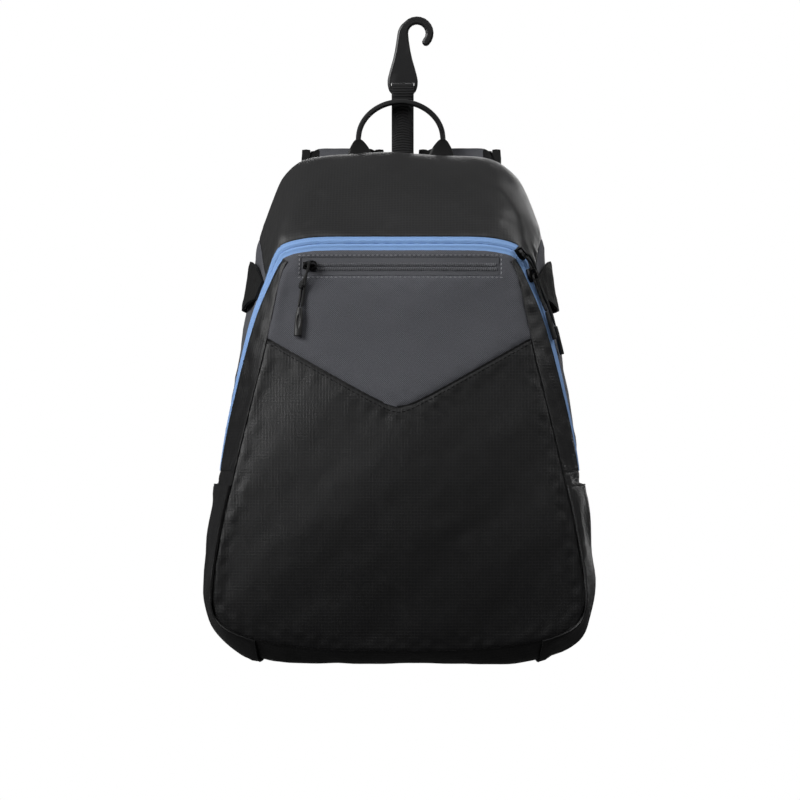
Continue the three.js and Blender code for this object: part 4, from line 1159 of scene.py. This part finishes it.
    def pocket_zip(self, skin: Skin) -> None:
        """Lays the pocket zip's tape and teeth, and the pale stitches round its window."""
        still = Drape(wave=0, ripple=0, pucker=0, roll_depth=0)
        tape = Panel("pocket_zip_tape", GREY_TAPE, "grey_tape", still, inset=0, long_way=True, sewn=False)
        tape_skin = Skin([tape.build()])
        first, last, _, _ = self.window(-self.teeth_margin)
        middle = self.pocket_middle - self.teeth_drop
        places, ways, outs = [], [], []
        for row, shift in self.tooth_rows:
            height = middle + row * self.row_gap
            for x in np.arange(first, last, self.tooth_pitch):
                place, out = tape_skin.ahead(x + shift, height, self.tooth_lift)
                places.append(place)
                ways.append(np.array((self.tooth_slant * row, 0, 1.0)))
                outs.append(out)
        teeth = row_of("pocket_zip_teeth", bead(3.2, 1.25, 1.4), np.array(places), np.array(ways),
                       np.array(outs))
        dress(teeth, GREY_COIL, "pocket_zip_coil")
        left, right, foot, top = self.window(self.stitch_inset)
        for name, line in {
            "top": ((left, top), (right, top)),
            "foot": ((left, foot), (right, foot)),
            "left": ((left, top - 4), (left, foot + 4)),
            "right": ((right, top - 4), (right, foot + 4)),
        }.items():
            route = resample(np.array([(x, FACE_Y, z) for x, z in line], float), 5)
            seam = Seam(f"pocket_stitches_{name}", route, PALE_THREAD, pitch=4.0, share=0.62, width=1.0)
            seam.sew(skin)


# The bag behind the face


@dataclass
class Body:
    """The hood, sides, base and back panel, and the long zip that arches over the front."""

    tape_rib: float = 0.75
    rib_place: float = 2.3
    rib_width: float = 1.1
    joint_dip: float = 0.4
    dip_width: float = 0.9
    mate_gap: float = 1.2

    def build(self) -> None:
        """Builds the bag's body."""
        folds = (
            Fold((-84, -100, 430), (-104, -120, 372), 12, 2.6),
            Fold((-60, -90, 436), (-78, -125, 384), 10, -1.8),
            Fold((58, -120, 388), (100, -120, 380), 6, 1.3),
            Fold((70, -118, 398), (112, -110, 392), 7, 1.2),
            Fold((86, -90, 432), (106, -110, 388), 11, 2.0),
            Fold((-20, -120, 392), (30, -122, 390), 8, 0.6),
        )
        drape = Drape(wave=1.3, wave_length=85, ripple=0.14, seed=11, folds=folds)
        # The hood's cloth is the black ripstop painted lighter, as painted light on its top.
        Panel("hood_panel", HOOD_CLOTH_PAINTED_LIT, "hood_cloth", drape, levels=3, flat=HOOD_MAP).build()
        for side, seed in (("left", 13), ("right", 17)):
            Panel(f"side_panel_{side}", GREY_CLOTH, "grey_cloth", Drape(seed=seed), flat=SIDE_MAP).build()
        Panel("base_panel", RIPSTOP, "ripstop", Drape(seed=19, pucker=0.5)).build()
        drape = Drape(wave=0.5, roll_depth=0.5, seed=23)
        back = Panel("back_panel", AIR_MESH, "padding", drape, sewn=False).build()
        self.long_zip()

    def long_zip(self) -> None:
        """Builds the two blue tapes, with a rib beside their joint where the coil lies behind them."""
        for half, other in (("front", "back"), ("back", "front")):
            node = f"main_zip_tape_{half}"
            piece = copy_of(node, f"{node}_cloth")
            rim = crease_sharp(piece, SEAM_BEND)
            joint = rim[distance_to(rim, edges_of(f"main_zip_tape_{other}")) < self.mate_gap]
            lay_out(piece, long_way=True)
            subdivide(piece, 3)
            points, normals = points_of(piece), normals_of(piece)
            away = distance_to(points, joint)
            rib = (self.tape_rib * np.exp(-(((away - self.rib_place) / self.rib_width) ** 2))
                   - self.joint_dip * np.exp(-((away / self.dip_width) ** 2)))
            out = outward_sign(points, normals)
            put_points(piece, points + normals * (np.where(out > 0, rib, 0))[:, None])
            dress(piece, BLUE_TAPE, node)


class BatPockets:
    """The open sleeves that hold a bat's barrel, and the bands that hold its handle."""

    @staticmethod
    def build() -> None:
        """Builds both sleeves and both bands."""
        for side, seed in (("left", 29), ("right", 31)):
            sleeve = Drape(seed=seed, wave=1.2, wave_length=55, pucker=0.5)
            band = Drape(seed=seed + 2, wave=0.5, roll_depth=0.5, wave_length=40)
            Panel(f"bat_sleeve_{side}", RIPSTOP, "ripstop", sleeve).build()
            Panel(f"bat_strap_{side}", BINDING, "webbing", band).build()


# Hard parts and what they hang from


@dataclass(frozen=True)
class Knot:
    """A knot in a pull's cord, at a place given by x and z in bag millimetres."""

    pull: str
    place: tuple[float, float]
    size: Place
    slant: float = 0.6
    cord_share: float = 0.62
    nearest: int = 60


@dataclass
class Pulls:
    """The three zip sliders with their cords and moulded grips."""

    names: tuple[str, ...] = ("main_upper", "main_lower", "pocket")
    bevel: float = 0.35
    dent: float = 0.9
    dent_share: float = 0.55
    cord_fullness: float = 0.45
    knots: tuple[Knot, ...] = (
        Knot("pocket", (-84.5, 325.5), (9.0, 8.0, 6.5)),
        Knot("main_upper", (116.0, 333.6), (9.5, 8.0, 7.0)),
    )

    def build(self) -> None:
        """Builds every pull."""
        for name in self.names:
            slider = copy_of(f"{name}_slider", f"{name}_slider_body")
            bevel(slider, self.bevel)
            dress(slider, BLACK_METAL, f"{name}_slider", 35)
            cord = copy_of(f"{name}_pull_cord", f"{name}_pull_braid")
            put_points(cord, points_of(cord) + normals_of(cord) * self.cord_fullness)
            lay_out(cord, long_way=True, angle=80)
            subdivide(cord, 2)
            dress(cord, PULL_CORD, f"{name}_pull_cord", 80)
            self.grip(name)
        for knot in self.knots:
            self.tie(knot)

    @staticmethod
    def tie(knot: Knot) -> None:
        """Ties one knot: two crossed rounds of cord, where the pull's legs come together."""
        route = points_of(bpy.data.objects[f"{knot.pull}_pull_braid"])
        away = np.hypot(route[:, 0] - knot.place[0], route[:, 2] - knot.place[1])
        near = route[np.argsort(away)[:knot.nearest]]
        centre = near.mean(0)
        _, _, axes = np.linalg.svd(near - centre, full_matrices=False)
        length, width, height = knot.size
        aside = knot.slant * axes[1]
        slants = np.array([axes[0] + aside, axes[0] - aside, axes[1]])
        shape = bead(length, width * knot.cord_share, height)
        rounds = row_of(f"{knot.pull}_pull_knot", shape, np.array([centre] * 3), slants,
                        np.array([axes[2]] * 3))
        subdivide(rounds, 1)
        lay_out(rounds)
        dress(rounds, PULL_CORD, (), 80)

    def grip(self, name: str) -> None:
        """Builds one grip, with soft edges and an oval dent in front and behind."""
        grip = copy_of(f"{name}_pull_grip", f"{name}_pull_handle")
        crease_sharp(grip, 60, 0.45)
        subdivide(grip, 3)
        points, normals = points_of(grip), normals_of(grip)
        centre = points.mean(0)
        _, _, axes = np.linalg.svd(points - centre, full_matrices=False)
        along = (points - centre) @ axes[0]
        across = (points - centre) @ axes[1]
        length, width = np.ptp(along) / 2, np.ptp(across) / 2
        oval = ((along / length) ** 2 + (across / width) ** 2) / self.dent_share**2
        depth = self.dent * ease(1.3 * (1 - oval)) * (np.abs(normals @ axes[2]) > 0.5)
        put_points(grip, points - normals * depth[:, None])
        dress(grip, RUBBER, f"{name}_pull_grip", 50)


def lay_strip(node: str, finish: ClothFinish, levels: int, fullness: float = 0.0) -> bpy.types.Object:
    """Fills out one strip of webbing, smooths it and dresses it."""
    piece = copy_of(node, f"{node}_cloth")
    put_points(piece, points_of(piece) + normals_of(piece) * fullness)
    crease_sharp(piece, SEAM_BEND, 0.7)
    lay_out(piece, long_way=True)
    subdivide(piece, levels)
    return dress(piece, finish, node, 50)


@dataclass
class Hanging:
    """The fence hook, its webbing and the haul loop."""

    fullness: float = 0.6
    webbing_fullness: float = 0.2
    slot_play: float = 0.4
    lap: float = 1.4

    def build(self) -> None:
        """Builds what the bag hangs and is lifted by."""
        hook = bpy.data.objects["fence_hook"]
        hook.data.materials.clear()
        hook.data.materials.append(PLASTIC.material())
        shade(hook, 32)
        strap = lay_strip("hook_strap", WEBBING, 2, self.webbing_fullness)
        points = points_of(strap)
        points[points[:, 2] > points[:, 2].max() - 2 * self.slot_play, 2] += self.slot_play
        put_points(strap, points)
        loop = copy_of("haul_loop", "haul_loop_cloth")
        points = points_of(loop) + normals_of(loop) * self.fullness
        points[points[:, 2] < points[:, 2].min() + 1, 2] -= self.lap
        put_points(loop, points)
        crease_sharp(loop, 70)
        lay_out(loop, long_way=True, angle=80)
        subdivide(loop, 2)
        dress(loop, WEBBING, "haul_loop", 80)
        for side in ("left", "right"):
            anchor = copy_of(f"haul_anchor_{side}", f"haul_anchor_{side}_cloth")
            crease_sharp(anchor, 55, 0.85)
            lay_out(anchor)
            subdivide(anchor, 3)
            dress(anchor, RUBBER, f"haul_anchor_{side}", 60)


@dataclass
class ShoulderStraps:
    """The two padded shoulder straps and what joins them to the base."""

    binding_fullness: float = 2.4
    black_edge: float = 11.0
    bevel: float = 0.5

    def build(self) -> None:
        """Builds both straps."""
        for side in ("left", "right"):
            drape = Drape(wave=0.3, roll_width=9, roll_depth=2.2, pucker=0.2, seed=37)
            pad = Panel(f"shoulder_strap_{side}", STRAP_CLOTH, "padding", drape, inset=3, sewn=False).build()
            self.edge_in_black(pad, f"strap_binding_{side}")
            lay_strip(f"strap_binding_{side}", BINDING, 1, self.binding_fullness)
            lay_strip(f"strap_webbing_{side}", WEBBING, 2)
            for name, finish, slot in (("strap_lock", PLASTIC, "plastic"), ("strap_tab", BINDING, "webbing"),
                                       ("strap_anchor", BINDING, "webbing")):
                node = f"{name}_{side}"
                piece = copy_of(node, f"{node}_body")
                lay_out(piece)
                bevel(piece, self.bevel)
                dress(piece, finish, node, 35)

    def edge_in_black(self, pad: bpy.types.Object, binding: str) -> None:
        """Gives the pad's faces beside its binding the binding's cloth."""
        pad.data.materials.append(BINDING.material())
        centres = in_bag([p.center for p in pad.data.polygons])
        near = distance_to(centres, edges_of(binding)) < self.black_edge
        pad.data.polygons.foreach_set("material_index", near.astype(int))
        pad.data.update()


# The studio


@dataclass(frozen=True)
class Lamp:
    """A soft square lamp, at an offset in metres from what it points at."""

    name: str
    offset: Place
    size: float
    power: float

    def hang(self, aim: Vector) -> None:
        """Adds the lamp, turned towards a point."""
        light = bpy.data.lights.new(self.name, "AREA")
        light.size, light.energy = self.size, self.power
        lamp = bpy.data.objects.new(self.name, light)
        lamp.location = aim + Vector(self.offset)
        lamp.rotation_euler = (-Vector(self.offset)).to_track_quat("-Z", "Y").to_euler()
        bpy.context.scene.collection.objects.link(lamp)


@dataclass
class Studio:
    """A white studio with soft lights and the camera of the photograph."""

    distance: float = 2.3
    view_width: float = 0.71
    azimuth: float = 0.7
    floor_drop: float = 2.0
    floor_size: float = 14.0
    floor_grey: float = 0.1
    floor_glow: float = 0.8
    world_light: float = 0.06
    lamps: tuple[Lamp, ...] = (
        Lamp("key", (-2.1, -1.25, 1.3), 1.3, 62),
        Lamp("rim", (1.9, -0.35, 1.7), 1.5, 26),
        Lamp("back", (0.3, 2.5, 0.5), 1.6, 22),
        Lamp("fill", (-0.2, -2.2, 1.7), 1.2, 9),
    )

    def build(self) -> None:
        """Sets the camera, the lights, the world and the floor."""
        aim = Vector(in_frame(BAG_CORE))
        turn = math.radians(self.azimuth)
        camera = bpy.data.objects.new("camera", bpy.data.cameras.new("camera"))
        camera.data.angle = 2 * math.atan(self.view_width / 2 / self.distance)
        camera.location = aim + self.distance * Vector((math.sin(turn), -math.cos(turn), 0))
        camera.rotation_euler = (math.pi / 2, 0, turn)
        bpy.context.scene.collection.objects.link(camera)
        bpy.context.scene.camera = camera
        for lamp in self.lamps:
            lamp.hang(aim)
        self.world()
        self.floor()

    def floor(self) -> None:
        """Lays a floor far below, which glows pale to the camera alone."""
        bpy.ops.mesh.primitive_plane_add(size=self.floor_size, location=(0, 0, -self.floor_drop))
        floor = bpy.context.active_object
        floor.name = "studio_floor"
        finish, wire, shader = new_material("pale_floor")
        glow = wire.math("MULTIPLY", wire.add("LightPath").outputs["Is Camera Ray"], self.floor_glow)
        wire.feed(shader, {"Base Color": (*[self.floor_grey] * 3, 1), "Emission Color": (1, 1, 1, 1),
                           "Emission Strength": glow})
        floor.data.materials.append(finish)

    def world(self) -> None:
        """Makes a world that lights softly and looks plain white."""
        world = bpy.data.worlds.new("studio")
        world.use_nodes = True
        bpy.context.scene.world = world
        wire = Wiring(world.node_tree)
        seen = wire.add("LightPath").outputs["Is Camera Ray"]
        strength = wire.math("MULTIPLY_ADD", seen, 1 - self.world_light, self.world_light)
        wire.feed(world.node_tree.nodes["Background"], {"Strength": strength, "Color": (1, 1, 1, 1)})
        bpy.context.scene.view_settings.view_transform = "Standard"


def main() -> None:
    """Builds the bag and its studio."""
    logging.basicConfig(level=logging.INFO, format="%(name)s %(message)s")
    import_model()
    Studio().build()
    FrontFace().build()
    Body().build()
    BatPockets().build()
    Pulls().build()
    Hanging().build()
    ShoulderStraps().build()


if __name__ == "__main__":
    main()
